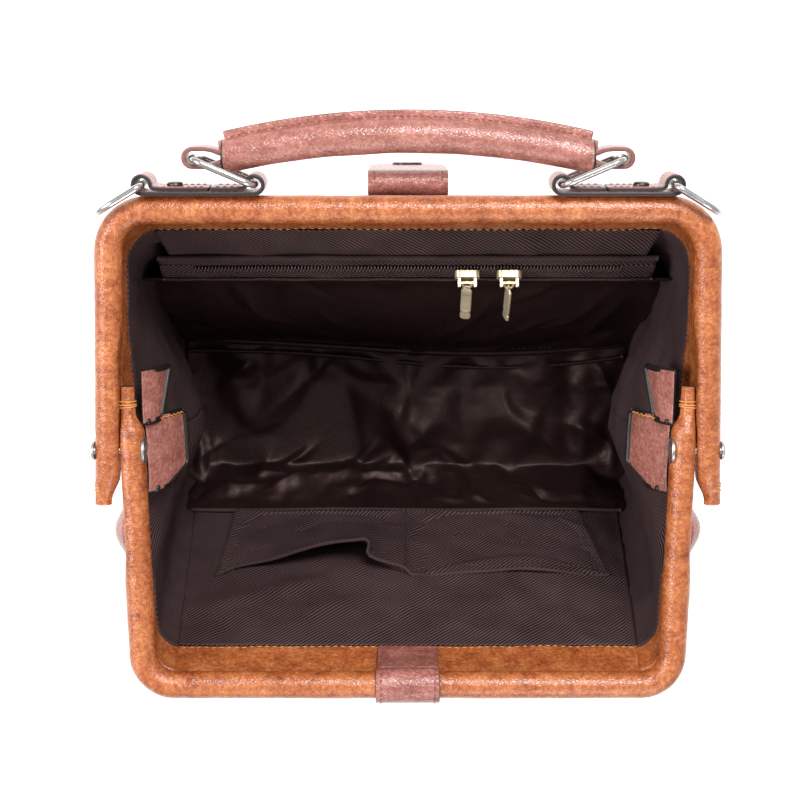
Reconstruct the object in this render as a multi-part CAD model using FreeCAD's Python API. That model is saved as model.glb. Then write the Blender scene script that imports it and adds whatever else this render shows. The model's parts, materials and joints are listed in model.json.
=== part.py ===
import FreeCAD
import Part
import math
import os

# A doctor bag that stands open on its base. Millimetres, +Z up, +Y towards the back, where the handle is.
# The origin is the middle of the base's underside. Two U-shaped steel frames, each in a leather roll,
# turn on two rivets at the sides. The front and back panels lean on the base's long edges and meet the
# frames' bars, and the two gussets fold between them.

Vec = FreeCAD.Vector
x_axis = Vec(1, 0, 0)
y_axis = Vec(0, 1, 0)
z_axis = Vec(0, 0, 1)
centre = Vec(0, 0, 0)

# sheet goods
leather = 1.6
facing = 1.2
cloth = 0.8
board = 2.4
gap = 0.1  # between layers that lie on each other

# base tray
base_half_width = 125.8
base_half_depth = 57.0
base_height = 10.0
base_corner = 14.0

# front and back panels, which turn about the base's long edges
panel_height = 190.0  # from the panel's turning line to the centre of the frame's bar
panel_half = 121.5
shoulder_drop_low = 42.0  # below the bar the panel draws in to pass between the frame's legs
shoulder_drop_top = 30.0
panel_corner = 8.0
leg_clearance = 1.5
panel_line_z = base_height + 1.0
panel_line_y = base_half_depth - 2.0
panel_foot = 0.5

# frames
arm = 104.0  # rivet to the centre of the bar
open_angle = 3.0  # each frame above the horizontal, fully open
leg_splay = 2.0  # each leg leans out towards its tip
roll_radius = 6.0
steel_radius = 4.2
steel_bore = 3.2
steel_reach = 12.0  # steel past the rivet
back_half = 129.0  # centre of the back frame's leg at the rivet
hinge_pitch = 9.8  # between the two frames' legs, where the rolls are pressed flat against each other
flat_length = 58.0
flat_clearance = 0.3
back_corner = 18.0
front_corner = 14.0
back_tip = 24.0  # leather past the rivet
front_tip = 28.0
tip_radius = 3.2
closed_gap = 0.4

# rivets the frames turn on
pin_radius = 2.0
pin_clearance = 0.05
cap_radius = 5.8
cap_lift = 0.5  # the cap's seat stands off the steel, inside the roll
cap_clearance = 0.5
cap_thickness = 1.3
pin_head_radius = 4.0
pin_head_height = 1.2

# hardware tabs on the back frame's bar
strap = 1.8
tab_width = 16.0
tab_inner_x = 63.5
tab_outer_x = 110.0
loop_bore = 2.8
tab_rivet_x = 97.0
tab_rivet_radius = 1.4
tab_rivet_head = 3.4
tab_seat = 0.3

# rings
wire_radius = 1.5
ring_pitch = 27.6  # between the centres of the ring's two bars
ring_width = 21.0
ring_corner = 5.0
ring_angle = 23.0  # the ring above the bar, at rest
dee_width = 22.0
dee_depth = 24.0
dee_corner = 3.0
dee_angle = -31.0

# handle
handle_lift = 9.0
handle_rise = 9.0  # how far the middle of the grip stands above its ends
handle_half = 77.0
grip_radius = 7.0
grip_bore = 5.5
flange_height = 3.2
flange_width = 2.6
grip_strap_width = 9.0
grip_strap = 2.4
loop_width = 14.0

# zip in the back lining
zip_half = 97.0
zip_drop = 52.0  # from the bar down to the top of the zip
zip_height = 14.0
zip_offset = 14.0  # how far the lining stands in from the panel at the zip
chain_height = 6.0
chain_thickness = 1.4
slider_length = 11.0
slider_width = 8.6
slider_body = 3.0
slider_x = (27.0, 46.0)
pouch_depth = 64.0
pouch_drop = 20.0
puller_length = 30.0
puller_stand = 25.0  # the lining below holds the puller out from the panel by this angle
puller_width = 5.0
puller_thickness = 1.2
bridge_height = 4.0

# slip pocket on the front lining
pocket_half = 93.0
pocket_low = 40.0
pocket_top = 105.0
pocket_gap = 9.0
pocket_seam = 2.0

# closure strap behind, and its tab on the front
closure_half = 17.0
closure_thick = 2.2
closure_hang = 92.0
closure_out = 14.0  # its turning line, out from the back panel
closure_drop = 12.0  # and down from the bar
closure_bend = 3.3
snap_radius = 7.0
snap_thickness = 1.8
snap_from_end = 13.0
sleeve_half = 14.0
sleeve_thickness = 1.6
tail_length = 54.0

# gussets
gusset_fold_z = 95.0
gusset_fold = 19.0  # how far the fold stands in from the seams
gusset_seam = 123.0
gusset_knuckle = 12.0  # half the width of the fold's flat middle
gusset_end_gap = 0.4
facing_drop = 22.0

# leather facings inside the gussets at the rivets
hinge_facing = 1.0
hinge_facing_back = (12.0, 40.0)
hinge_facing_front = (-34.0, 11.0)
hinge_facing_drop = 27.0

# linings
back_lining_half = 111.0
front_lining_half = 105.0

# places worked out from the sizes above
front_half = back_half - hinge_pitch
cap_plane = front_half - steel_radius - cap_lift  # the cap lies on this plane
panel_shoulder_low = panel_height - shoulder_drop_low
panel_shoulder_top = panel_height - shoulder_drop_top
bar_y_open = arm * math.cos(math.radians(open_angle))
bar_y_closed = (2 * roll_radius + sleeve_thickness + gap + closed_gap) / 2
closed_angle = math.degrees(math.acos(bar_y_closed / arm))
lean_open = math.degrees(math.asin((bar_y_open - panel_line_y) / panel_height))
lean_closed = math.degrees(math.asin((bar_y_closed - panel_line_y) / panel_height))
bar_z_open = panel_line_z + panel_height * math.cos(math.radians(lean_open))
bar_z_closed = panel_line_z + panel_height * math.cos(math.radians(lean_closed))
pivot_z = bar_z_open - arm * math.sin(math.radians(open_angle))
pivot_z_closed = bar_z_closed - arm * math.sin(math.radians(closed_angle))
panel_top = panel_height - roll_radius - sleeve_thickness - gap - closed_gap
tab_base_u = arm + roll_radius + tab_seat
loop_u = tab_base_u + strap + loop_bore
ring_x = tab_inner_x + ring_pitch * math.cos(math.radians(ring_angle))
handle_u = loop_u + ring_pitch * math.sin(math.radians(ring_angle))
ring_angle_up = math.degrees(math.asin((handle_u + handle_lift - loop_u) / ring_pitch))
ring_x_up = tab_inner_x + ring_pitch * math.cos(math.radians(ring_angle_up))
zip_top_s = panel_height - zip_drop
zip_low_s = zip_top_s - zip_height
zip_middle_s = (zip_top_s + zip_low_s) / 2
lining_out = -leather / 2 - facing - 2 * gap  # outer face of the linings at the panels' tops
splay_slope = math.tan(math.radians(leg_splay))
back_panel_top_half = back_half - arm * splay_slope - roll_radius - leg_clearance
front_panel_top_half = front_half - arm * splay_slope - roll_radius - leg_clearance
gusset_top = pivot_z - roll_radius - leg_clearance


def box(x, y, z):
    return Part.makeBox(x[1] - x[0], y[1] - y[0], z[1] - z[0], Vec(x[0], y[0], z[0]))


def rod_x(radius, x, y, z):
    return Part.makeCylinder(radius, x[1] - x[0], Vec(x[0], y, z), x_axis)


def rod_z(radius, x, y, z):
    return Part.makeCylinder(radius, z[1] - z[0], Vec(x, y, z[0]), z_axis)


def prism_x(outline, x):
    """An outline of (y, z) points, extruded from x[0] to x[1]."""
    points = [Vec(x[0], y, z) for y, z in outline]
    return Part.Face(Part.makePolygon(points + points[:1])).extrude(x_axis * (x[1] - x[0]))


def prism_y(outline, y):
    """An outline of (x, z) points, extruded from y[0] to y[1]."""
    points = [Vec(x, y[0], z) for x, z in outline]
    return Part.Face(Part.makePolygon(points + points[:1])).extrude(y_axis * (y[1] - y[0]))


def band(line, thickness):
    """The outline of a strip that follows a line of (y, z) points, its thickness on the -y side."""
    return list(line) + [(y - thickness, z) for y, z in reversed(line)]


def rounded_path(points, radius):
    """A wire of straight runs joined by tangent arcs of one radius."""
    edges = []
    start = points[0]
    for before, corner, after in zip(points, points[1:], points[2:]):
        into = (corner - before).normalize()
        out = (after - corner).normalize()
        half_turn = into.getAngle(out) / 2
        cut = radius * math.tan(half_turn)
        first = corner - into * cut
        last = corner + out * cut
        inward = (out - into).normalize()
        middle = corner + inward * (radius / math.cos(half_turn) - radius)
        edges.append(Part.LineSegment(start, first).toShape())
        edges.append(Part.Arc(first, middle, last).toShape())
        start = last
    edges.append(Part.LineSegment(start, points[-1]).toShape())
    return Part.Wire(edges)


def sweep(path, radius):
    first = path.Edges[0]
    place = first.valueAt(first.FirstParameter)
    heading = first.tangentAt(first.FirstParameter)
    ring = Part.Wire([Part.makeCircle(radius, place, heading)])
    return path.makePipeShell([ring], True, False)


def turned(shape, line_y, line_z, angle):
    copy = shape.copy()
    copy.rotate(Vec(0, line_y, line_z), x_axis, angle)
    return copy


def moved(shape, x, y, z):
    copy = shape.copy()
    copy.translate(Vec(x, y, z))
    return copy


def mirror_x(shape):
    return shape.mirror(centre, x_axis)


def mirror_y(shape):
    return shape.mirror(centre, y_axis)


def on_back_panel(shape):
    """From a panel's own frame, x, out of the bag, up the panel, to where the open back panel stands."""
    return moved(turned(shape, 0, 0, -lean_open), 0, panel_line_y, panel_line_z)


def on_front_panel(shape):
    return mirror_y(on_back_panel(shape))


def on_back_frame(shape):
    """From a frame's own frame, x, from rivet to bar, square to the frame, to the open back frame."""
    return moved(turned(shape, 0, 0, open_angle), 0, 0, pivot_z)


def on_front_frame(shape):
    return mirror_y(on_back_frame(shape))


def tray(half_width, half_depth, corner, z):
    """A block with rounded upright edges."""
    block = box((-half_width, half_width), (-half_depth, half_depth), z)
    upright = [e for e in block.Edges if abs(e.Vertexes[0].Z - e.Vertexes[1].Z) > gap]
    return block.makeFillet(corner, upright)


def base_leather():
    outer = tray(base_half_width, base_half_depth, base_corner, (0, base_height))
    inner = tray(base_half_width - leather, base_half_depth - leather, base_corner - leather,
                 (leather, base_height + 1))
    return outer.cut(inner)


def base_layer(low, thickness):
    inset = leather + gap
    return tray(base_half_width - inset, base_half_depth - inset, base_corner - inset, (low, low + thickness))


def panel_leather(top_half):
    """One panel: wide at the foot, with shoulders below the frame's legs and cut-off top corners."""
    right = [(panel_half, panel_foot), (panel_half, panel_shoulder_low), (top_half, panel_shoulder_top),
             (top_half, panel_top - panel_corner), (top_half - panel_corner, panel_top)]
    outline = right + [(-x, s) for x, s in reversed(right)]
    return prism_y(outline, (-leather / 2, leather / 2))


def panel_facing(half):
    out = -leather / 2 - gap
    return box((-half, half), (out - facing, out), (panel_height - facing_drop, panel_top))


def front_lining():
    line = [(lining_out, panel_foot + 1), (lining_out, panel_top)]
    return prism_x(band(line, cloth), (-front_lining_half, front_lining_half))


def back_lining_upper():
    line = [(-zip_offset, zip_top_s + gap), (lining_out, panel_height - facing_drop + 4),
            (lining_out, panel_top)]
    return prism_x(band(line, cloth), (-back_lining_half, back_lining_half))


def back_lining_lower():
    line = [(lining_out - 1, panel_foot + 1), (-zip_offset, zip_low_s - gap)]
    return prism_x(band(line, cloth), (-back_lining_half, back_lining_half))


def zip_tape():
    face = (-zip_offset - cloth, -zip_offset)
    return box((-back_lining_half, back_lining_half), face, (zip_low_s, zip_top_s))


def zip_chain():
    face = -zip_offset - cloth
    return box((-zip_half, zip_half), (face - chain_thickness, face),
               (zip_middle_s - chain_height / 2, zip_middle_s + chain_height / 2))


def zip_pocket_bag():
    """The pouch behind the zip: two layers that lie against the back panel."""
    out = -leather / 2 - gap
    depth = (zip_low_s - pouch_depth, zip_low_s - pouch_drop)
    return box((-zip_half, zip_half), (out - 2 * cloth, out), depth)


slider_face = -zip_offset - cloth - chain_thickness - gap
bridge_pin_y = slider_face - slider_body - bridge_height / 2


def slider(x):
    """The slider's body, with a bridge over it that the puller hangs from."""
    half_length = slider_length / 2
    half_width = slider_width / 2
    body = box((-half_length, half_length), (slider_face - slider_body, slider_face),
               (zip_middle_s - half_width, zip_middle_s + half_width))
    upright = [e for e in body.Edges if abs(e.Vertexes[0].Y - e.Vertexes[1].Y) > gap]
    body = body.makeFillet(slider_width / 4, upright)
    top = slider_face - slider_body
    ears = [box((side * puller_width - 2, side * puller_width - 0.8) if side > 0 else
                (side * puller_width + 0.8, side * puller_width + 2),
                (top - bridge_height, top), (zip_middle_s - 2, zip_middle_s + 2)) for side in (-1, 1)]
    cross = rod_x(0.7, (-puller_width + 1, puller_width - 1), bridge_pin_y, zip_middle_s)
    return moved(body.fuse(ears + [cross]).removeSplitter(), x, 0, 0)


def puller(x):
    """A flat tag on the slider's cross pin, with a slot near its free end."""
    half = puller_width / 2
    y = (bridge_pin_y - puller_thickness / 2, bridge_pin_y + puller_thickness / 2)
    tag = box((-half, half), y, (zip_middle_s - puller_length, zip_middle_s - 2.4))
    upright = [e for e in tag.Edges if abs(e.Vertexes[0].Y - e.Vertexes[1].Y) > gap]
    tag = tag.makeFillet(half / 2, upright)
    eye = rod_x(1.7, (-half, half), bridge_pin_y, zip_middle_s)
    neck = box((-half + 0.6, half - 0.6), y, (zip_middle_s - 4, zip_middle_s))
    bore = rod_x(0.95, (-half - 1, half + 1), bridge_pin_y, zip_middle_s)
    slot = box((-half + 1.4, half - 1.4), (y[0] - 1, y[1] + 1),
               (zip_middle_s - puller_length + 2, zip_middle_s - puller_length + 7))
    tagged = tag.fuse([eye, neck]).cut(bore).cut(slot).removeSplitter()
    tagged.rotate(Vec(0, bridge_pin_y, zip_middle_s), x_axis, -puller_stand)
    return moved(tagged, x, 0, 0)


def slip_pocket():
    """A cloth panel sewn down at its two sides, its foot and its middle, open at the top."""
    lining_face = lining_out - cloth - gap
    sheet = (lining_face - pocket_gap - cloth, lining_face - pocket_gap)
    panel = box((-pocket_half, pocket_half), sheet, (pocket_low, pocket_top))
    seam = (sheet[1] - gap, lining_face)
    sides = [box((x - pocket_seam / 2, x + pocket_seam / 2), seam, (pocket_low, pocket_top))
             for x in (-pocket_half + pocket_seam / 2, 0, pocket_half - pocket_seam / 2)]
    foot = box((-pocket_half, pocket_half), seam, (pocket_low, pocket_low + pocket_seam))
    return panel.fuse(sides + [foot]).removeSplitter()


def gusset_level(z, xs, inset, thickness):
    """One level of a gusset on the right: four points from front to back, and the same a thickness in."""
    lean = math.radians(lean_open)
    stack = leather / 2 + facing + cloth + 2 * gap + gusset_end_gap
    half = panel_line_y + (z - panel_line_z) * math.tan(lean) - stack / math.cos(lean)
    ys = (-half, -gusset_knuckle, gusset_knuckle, half)
    outer = [Vec(x - inset, y, z) for x, y in zip(xs, ys)]
    inner = [Vec(x - inset - thickness, y, z) for x, y in zip(xs, ys)]
    points = outer + inner[::-1]
    return Part.makePolygon(points + points[:1])


def gusset(inset, thickness):
    """A gusset folded in between its seams. Its top edge runs below the legs of the two frames."""
    seam = gusset_seam
    fold = gusset_seam - gusset_fold
    foot = base_half_width - leather
    bar_splay = arm * splay_slope
    top = (front_half - bar_splay, front_half, back_half - leather, back_half - bar_splay)
    levels = [(base_height + panel_foot, (foot, foot, foot, foot)), (gusset_fold_z, (seam, fold, fold, seam)),
              (gusset_top, top)]
    return Part.makeLoft([gusset_level(z, xs, inset, thickness) for z, xs in levels], True, True)


def hinge_facing_patch(y):
    """The leather facing inside a gusset's top edge, on one side of the fold."""
    sheet = gusset(leather + cloth + 3 * gap, hinge_facing)
    return sheet.common(box((0, back_half), y, (gusset_top - hinge_facing_drop, gusset_top)))


def frame_path(half, corner, reach):
    splay = math.tan(math.radians(leg_splay))
    foot = half + reach * splay
    head = half - arm * splay
    points = [Vec(foot, -reach, 0), Vec(head, arm, 0), Vec(-head, arm, 0), Vec(-foot, -reach, 0)]
    return rounded_path(points, corner)


def leg_holes(half):
    """The rivet's hole across a frame's right leg and its left leg."""
    span = (half - 2 * roll_radius, half + 2 * roll_radius)
    hole = rod_x(pin_radius + pin_clearance, span, 0, 0)
    return [hole, mirror_x(hole)]


def leg_flats(half, side, splays):
    """What presses a frame's legs flat on one side: +1 for their outer faces, -1 for their inner faces."""
    face = hinge_pitch / 2 - flat_clearance
    wide = 2 * roll_radius
    span = (half + min(side * face, side * wide), half + max(side * face, side * wide))
    blocks = []
    for splay, reach in splays:
        block = box(span, reach, (-wide, wide))
        block.rotate(Vec(half, 0, 0), z_axis, splay)
        blocks += [block, mirror_x(block)]
    return blocks


# along each leg, and on the front legs' tips as they lie along the open back legs
back_splays = [(leg_splay, (-back_tip - 1, flat_length))]
front_splays = [(leg_splay, (-front_tip - 1, flat_length)), (-leg_splay, (-front_tip - 1, 0))]


def cap_seats():
    inner = front_half - 2 * roll_radius
    seat = rod_x(cap_radius + cap_clearance, (inner, cap_plane), 0, 0)
    return [seat, mirror_x(seat)]


def frame_steel(half, corner):
    path = frame_path(half, corner, steel_reach)
    return sweep(path, steel_radius).cut(sweep(path, steel_bore)).cut(leg_holes(half))


def frame_roll(half, corner, tip, flats):
    """The leather roll round the steel. Past the steel it tapers to a tied tip."""
    splay = math.radians(leg_splay)
    end = Vec(half + steel_reach * math.tan(splay), -steel_reach, 0)
    cone = Part.makeCone(roll_radius, tip_radius, tip - steel_reach, end,
                         Vec(math.sin(splay), -math.cos(splay), 0))
    skin = sweep(frame_path(half, corner, steel_reach), roll_radius).fuse([cone, mirror_x(cone)])
    bore = sweep(frame_path(half, corner, steel_reach), steel_radius + gap)
    return skin.cut(bore).cut(leg_holes(half) + flats).removeSplitter()


def rivet_holes():
    hole = Part.makeCylinder(tab_rivet_radius + gap, tab_base_u - arm + 1, Vec(tab_rivet_x, arm, 0), y_axis)
    return [hole, mirror_x(hole)]


def hinge_pin():
    inner = cap_plane
    outer = back_half + roll_radius + pin_head_radius * splay_slope + gap
    shank = rod_x(pin_radius, (inner, outer), 0, pivot_z)
    head = rod_x(pin_head_radius, (outer, outer + pin_head_height), 0, pivot_z)
    rim = [e for e in head.Edges if e.Closed and e.CenterOfMass.x > outer + gap]
    return shank.fuse(head.makeFillet(pin_head_height * 0.7, rim)).removeSplitter()


def hinge_cap():
    """The round cap on a rivet's inner end, with a shallow ring turned in its face."""
    outer = cap_plane - gap
    inner = outer - cap_thickness
    disc = rod_x(cap_radius, (inner, outer), 0, pivot_z)
    rim = [e for e in disc.Edges if e.Closed and e.CenterOfMass.x < outer - gap]
    disc = disc.makeFillet(cap_thickness * 0.4, rim)
    groove = rod_x(cap_radius * 0.72, (inner - 1, inner + 0.3), 0, pivot_z)
    groove = groove.cut(rod_x(cap_radius * 0.56, (inner - 1, inner + 0.3), 0, pivot_z))
    return disc.cut(groove)


def hardware_tab():
    """A strap doubled on itself along the bar, with an eye at each end, on the right."""
    z = (-tab_width / 2, tab_width / 2)
    plate = box((tab_inner_x, tab_outer_x), (tab_base_u, tab_base_u + 2 * strap), z)
    eyes = [rod_z(loop_bore + strap, x, loop_u, z) for x in (tab_inner_x, tab_outer_x)]
    bores = [rod_z(loop_bore, x, loop_u, (z[0] - 1, z[1] + 1)) for x in (tab_inner_x, tab_outer_x)]
    hole = Part.makeCylinder(tab_rivet_radius + gap, 4 * strap, Vec(tab_rivet_x, tab_base_u - 1, 0), y_axis)
    return plate.fuse(eyes).cut(bores + [hole]).removeSplitter()


def tab_rivet():
    top = tab_base_u + 2 * strap
    shank = Part.makeCylinder(tab_rivet_radius, top - arm, Vec(tab_rivet_x, arm, 0), y_axis)
    head = Part.makeCylinder(tab_rivet_head, 1.6, Vec(tab_rivet_x, top + gap, 0), y_axis)
    rim = [e for e in head.Edges if e.Closed and e.CenterOfMass.y > top + 1]
    collar = Part.makeCylinder(tab_rivet_radius, gap, Vec(tab_rivet_x, top, 0), y_axis)
    return shank.fuse([collar, head.makeFillet(1.1, rim)]).removeSplitter()


def closed_loop(half_points, corner, radius):
    """A wire ring, from the path of its half above the x axis in x and z."""
    half = sweep(rounded_path([Vec(x, 0, z) for x, z in half_points], corner), radius)
    return half.fuse(half.mirror(centre, z_axis)).removeSplitter()


def oval_ring():
    """A long ring of round wire, from the tab's eye to the handle's loop, on the right."""
    half = ring_width / 2
    points = [(0, 0), (0, half), (ring_pitch, half), (ring_pitch, 0)]
    ring = closed_loop(points, ring_corner, wire_radius)
    ring.rotate(centre, z_axis, ring_angle)
    return moved(ring, tab_inner_x, loop_u, 0)


def dee_ring():
    """A D-shaped ring: its bar is in the tab's outer eye, and its bow hangs past the frame's corner."""
    half = dee_width / 2
    side = sweep(rounded_path([Vec(0, 0, 0), Vec(0, 0, half), Vec(dee_depth - half, 0, half)], dee_corner),
                 wire_radius)
    start = Vec(dee_depth - half, 0, half)
    knee = Vec(dee_depth - half + half * math.sin(math.pi / 4), 0, half * math.cos(math.pi / 4))
    bow = sweep(Part.Wire([Part.Arc(start, knee, Vec(dee_depth, 0, 0)).toShape()]), wire_radius)
    upper = side.fuse(bow)
    ring = upper.fuse(upper.mirror(centre, z_axis)).removeSplitter()
    ring.rotate(centre, z_axis, dee_angle)
    return moved(ring, tab_outer_x, loop_u, 0)


grip_end_u = handle_u
grip_mid_u = handle_u + handle_rise
grip_arc = (handle_half ** 2 + handle_rise ** 2) / (2 * handle_rise)
grip_centre_u = grip_mid_u - grip_arc


def grip_path():
    return Part.Wire([Part.Arc(Vec(-handle_half, grip_end_u, 0), Vec(0, grip_mid_u, 0),
                               Vec(handle_half, grip_end_u, 0)).toShape()])


def arc_plate(inner, outer, half_length, half_width):
    """A plate bent to the grip's arc, between two distances from the arc's centre."""
    at = Vec(0, grip_centre_u, -half_width)
    ring = Part.makeCylinder(outer, 2 * half_width, at).cut(Part.makeCylinder(inner, 2 * half_width, at))
    return ring.common(box((-half_length, half_length), (0, grip_mid_u + 20), (-half_width, half_width)))


def grip_leather():
    path = grip_path()
    roll = sweep(path, grip_radius)
    inside = grip_arc + grip_radius - 1
    flange = arc_plate(inside, inside + 1 + flange_height, handle_half - 2, flange_width / 2)
    return roll.fuse(flange).cut(sweep(path, grip_bore)).removeSplitter()


def grip_filler():
    hole = arc_plate(grip_arc - grip_strap / 2 - gap, grip_arc + grip_strap / 2 + gap, handle_half + 5,
                     grip_strap_width / 2 + gap)
    return sweep(grip_path(), grip_bore - gap).cut(hole)


def grip_strap_through():
    """The strap inside the grip. A long loop at each end holds an oval ring."""
    z = (-loop_width / 2, loop_width / 2)
    wide = (z[0] - 1, z[1] + 1)
    core = arc_plate(grip_arc - grip_strap / 2, grip_arc + grip_strap / 2, ring_x_up - loop_bore,
                     grip_strap_width / 2)
    loops = []
    slots = []
    for side in (-1, 1):
        ends = [side * ring_x_up, side * ring_x]
        span = (min(ends), max(ends))
        outer = loop_bore + strap
        loops += [rod_z(outer, x, handle_u, z) for x in ends]
        loops.append(box(span, (handle_u - outer, handle_u + outer), z))
        slots += [rod_z(loop_bore, x, handle_u, wide) for x in ends]
        slots.append(box(span, (handle_u - loop_bore, handle_u + loop_bore), wide))
    return core.fuse(loops).cut(slots).removeSplitter()


def strap_anchor():
    """The patch sewn to the back panel, and the short root that carries the closure strap."""
    face = leather / 2 + gap
    s = panel_height - closure_drop
    outline = [(face, s - 30), (face + closure_thick, s - 30), (face + closure_thick, s - 12),
               (closure_out - 4.8, s - 4.2), (closure_out - 6.4, s - 2.6), (face, s - 10.5)]
    return prism_x(outline, (-closure_half, closure_half))


def strap_line():
    """Where the closure strap turns, with the back panel open."""
    lean = math.radians(lean_open)
    s = panel_height - closure_drop
    return (panel_line_y + s * math.sin(lean) + closure_out * math.cos(lean),
            panel_line_z + s * math.cos(lean) - closure_out * math.sin(lean))


def closure_strap():
    y, z = strap_line()
    outer = closure_bend + closure_thick
    span = (-closure_half, closure_half)
    bend = rod_x(outer, span, y, z).cut(rod_x(closure_bend, (span[0] - 1, span[1] + 1), y, z))
    hang = box(span, (y + closure_bend, y + outer), (z - closure_hang, z))
    return bend.fuse(hang).removeSplitter()


def strap_disc(inner, outer):
    """A round snap part on the closure strap, between two distances from its turning line."""
    y, z = strap_line()
    return Part.makeCylinder(snap_radius, outer - inner, Vec(0, y + inner, z - closure_hang + snap_from_end),
                             y_axis)


def front_sleeve():
    """The tab's wrap round the front bar."""
    span = (-sleeve_half, sleeve_half)
    inner = roll_radius + gap
    return rod_x(inner + sleeve_thickness, span, arm, 0).cut(rod_x(inner, span, arm, 0))


def front_tail():
    face = leather / 2 + gap
    return box((-sleeve_half, sleeve_half), (face, face + closure_thick),
               (panel_top - tail_length, panel_top))


def front_snap():
    face = leather / 2 + gap + closure_thick
    centre = Vec(0, face, panel_top - tail_length + snap_from_end)
    return Part.makeCylinder(snap_radius, snap_thickness, centre, y_axis)


def save(name, shape):
    shape.exportStep("parts/" + name + ".step")


def save_pair(name, right):
    save(name + "_right", right)
    save(name + "_left", mirror_x(right))


def build():
    os.makedirs("parts", exist_ok=True)
    board_z = leather + gap
    save("base_leather", base_leather())
    save("base_board", base_layer(board_z, board))
    save("base_lining", base_layer(board_z + board + gap, cloth))
    save_pair("gusset_leather", gusset(0, leather))
    save_pair("gusset_lining", gusset(leather + gap, cloth))
    save_pair("hinge_facing_back", hinge_facing_patch(hinge_facing_back))
    save_pair("hinge_facing_front", hinge_facing_patch(hinge_facing_front))

    save("back_panel", on_back_panel(panel_leather(back_panel_top_half)))
    save("back_facing", on_back_panel(panel_facing(back_lining_half)))
    save("back_lining_upper", on_back_panel(back_lining_upper()))
    save("back_lining_lower", on_back_panel(back_lining_lower()))
    save("zip_tape", on_back_panel(zip_tape()))
    save("zip_chain", on_back_panel(zip_chain()))
    save("zip_pocket_bag", on_back_panel(zip_pocket_bag()))
    for number, x in enumerate(slider_x, 1):
        save(f"zip_slider_{number}", on_back_panel(slider(x)))
        save(f"zip_puller_{number}", on_back_panel(puller(x)))
    save("strap_anchor", on_back_panel(strap_anchor()))

    save("closure_strap", closure_strap())
    save("strap_snap", strap_disc(closure_bend - gap - snap_thickness, closure_bend - gap))
    save("strap_snap_cap", strap_disc(closure_bend + closure_thick + gap,
                                      closure_bend + closure_thick + gap + snap_thickness / 2))

    save("front_panel", on_front_panel(panel_leather(front_panel_top_half)))
    save("front_facing", on_front_panel(panel_facing(front_lining_half)))
    save("front_lining", on_front_panel(front_lining()))
    save("slip_pocket", on_front_panel(slip_pocket()))
    save("front_tab_tail", on_front_panel(front_tail()))
    save("front_snap", on_front_panel(front_snap()))

    back_flats = leg_flats(back_half, -1, back_splays)
    front_flats = leg_flats(front_half, 1, front_splays)
    save("back_frame_steel", on_back_frame(frame_steel(back_half, back_corner).cut(rivet_holes())))
    back_roll = frame_roll(back_half, back_corner, back_tip, back_flats).cut(rivet_holes())
    save("back_frame_roll", on_back_frame(back_roll))
    save("front_frame_steel", on_front_frame(frame_steel(front_half, front_corner)))
    front_roll = frame_roll(front_half, front_corner, front_tip, front_flats).cut(cap_seats())
    save("front_frame_roll", on_front_frame(front_roll))
    save("front_tab_sleeve", on_front_frame(front_sleeve()))
    save_pair("hinge_pin", hinge_pin())
    save_pair("hinge_cap", hinge_cap())

    save_pair("hardware_tab", on_back_frame(hardware_tab()))
    save_pair("tab_rivet", on_back_frame(tab_rivet()))
    save_pair("oval_ring", on_back_frame(oval_ring()))
    save_pair("dee_ring", on_back_frame(dee_ring()))
    save("handle_leather", on_back_frame(grip_leather()))
    save("handle_filler", on_back_frame(grip_filler()))
    save("handle_strap", on_back_frame(grip_strap_through()))


build()
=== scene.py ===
import json
import math
import random

import bpy
import numpy as np
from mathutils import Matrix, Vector, noise


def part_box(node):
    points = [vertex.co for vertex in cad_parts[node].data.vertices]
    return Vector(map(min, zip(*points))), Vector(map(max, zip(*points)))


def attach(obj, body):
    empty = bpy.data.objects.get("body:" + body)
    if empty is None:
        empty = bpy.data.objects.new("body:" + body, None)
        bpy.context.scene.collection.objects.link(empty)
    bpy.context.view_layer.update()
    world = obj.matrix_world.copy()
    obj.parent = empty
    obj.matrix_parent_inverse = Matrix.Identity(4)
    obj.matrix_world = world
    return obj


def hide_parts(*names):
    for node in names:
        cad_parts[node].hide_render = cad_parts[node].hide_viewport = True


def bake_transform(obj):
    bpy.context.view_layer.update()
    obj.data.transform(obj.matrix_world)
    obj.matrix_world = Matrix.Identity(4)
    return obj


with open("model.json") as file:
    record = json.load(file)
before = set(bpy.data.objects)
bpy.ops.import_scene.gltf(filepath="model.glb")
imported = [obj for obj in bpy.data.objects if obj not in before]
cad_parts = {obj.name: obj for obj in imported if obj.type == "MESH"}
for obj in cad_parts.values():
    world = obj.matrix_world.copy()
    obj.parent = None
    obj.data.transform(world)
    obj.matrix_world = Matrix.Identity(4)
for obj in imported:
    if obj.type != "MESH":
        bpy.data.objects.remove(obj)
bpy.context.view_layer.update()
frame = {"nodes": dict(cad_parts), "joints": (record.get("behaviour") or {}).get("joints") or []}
print("frame loaded")

mm = 0.001
hands = ((1, "Right"), (-1, "Left"))
sides = ((1, "back"), (-1, "front"))
stitchSize = dict(fine=(1.8 * mm, 0.3 * mm), plain=(2.0 * mm, 0.32 * mm))

# places, all worked out from the frame
joints = {j["name"]: j for j in frame["joints"]}
pivot = Vector(joints["frame_close"]["pos_m"])
panelLine = Vector(joints["back_panel_lean"]["pos_m"])
frameUp = Vector(joints["handle_lift"]["axis"])  # from the rivets to the back bar
ringEye = Vector(joints["right_ring_turn"]["pos_m"])
deeEye = Vector(joints["right_dee_swing"]["pos_m"])


def middle(node):
    low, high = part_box(node)
    return (low + high) / 2


def sizeOf(node):
    low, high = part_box(node)
    return high - low


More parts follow.
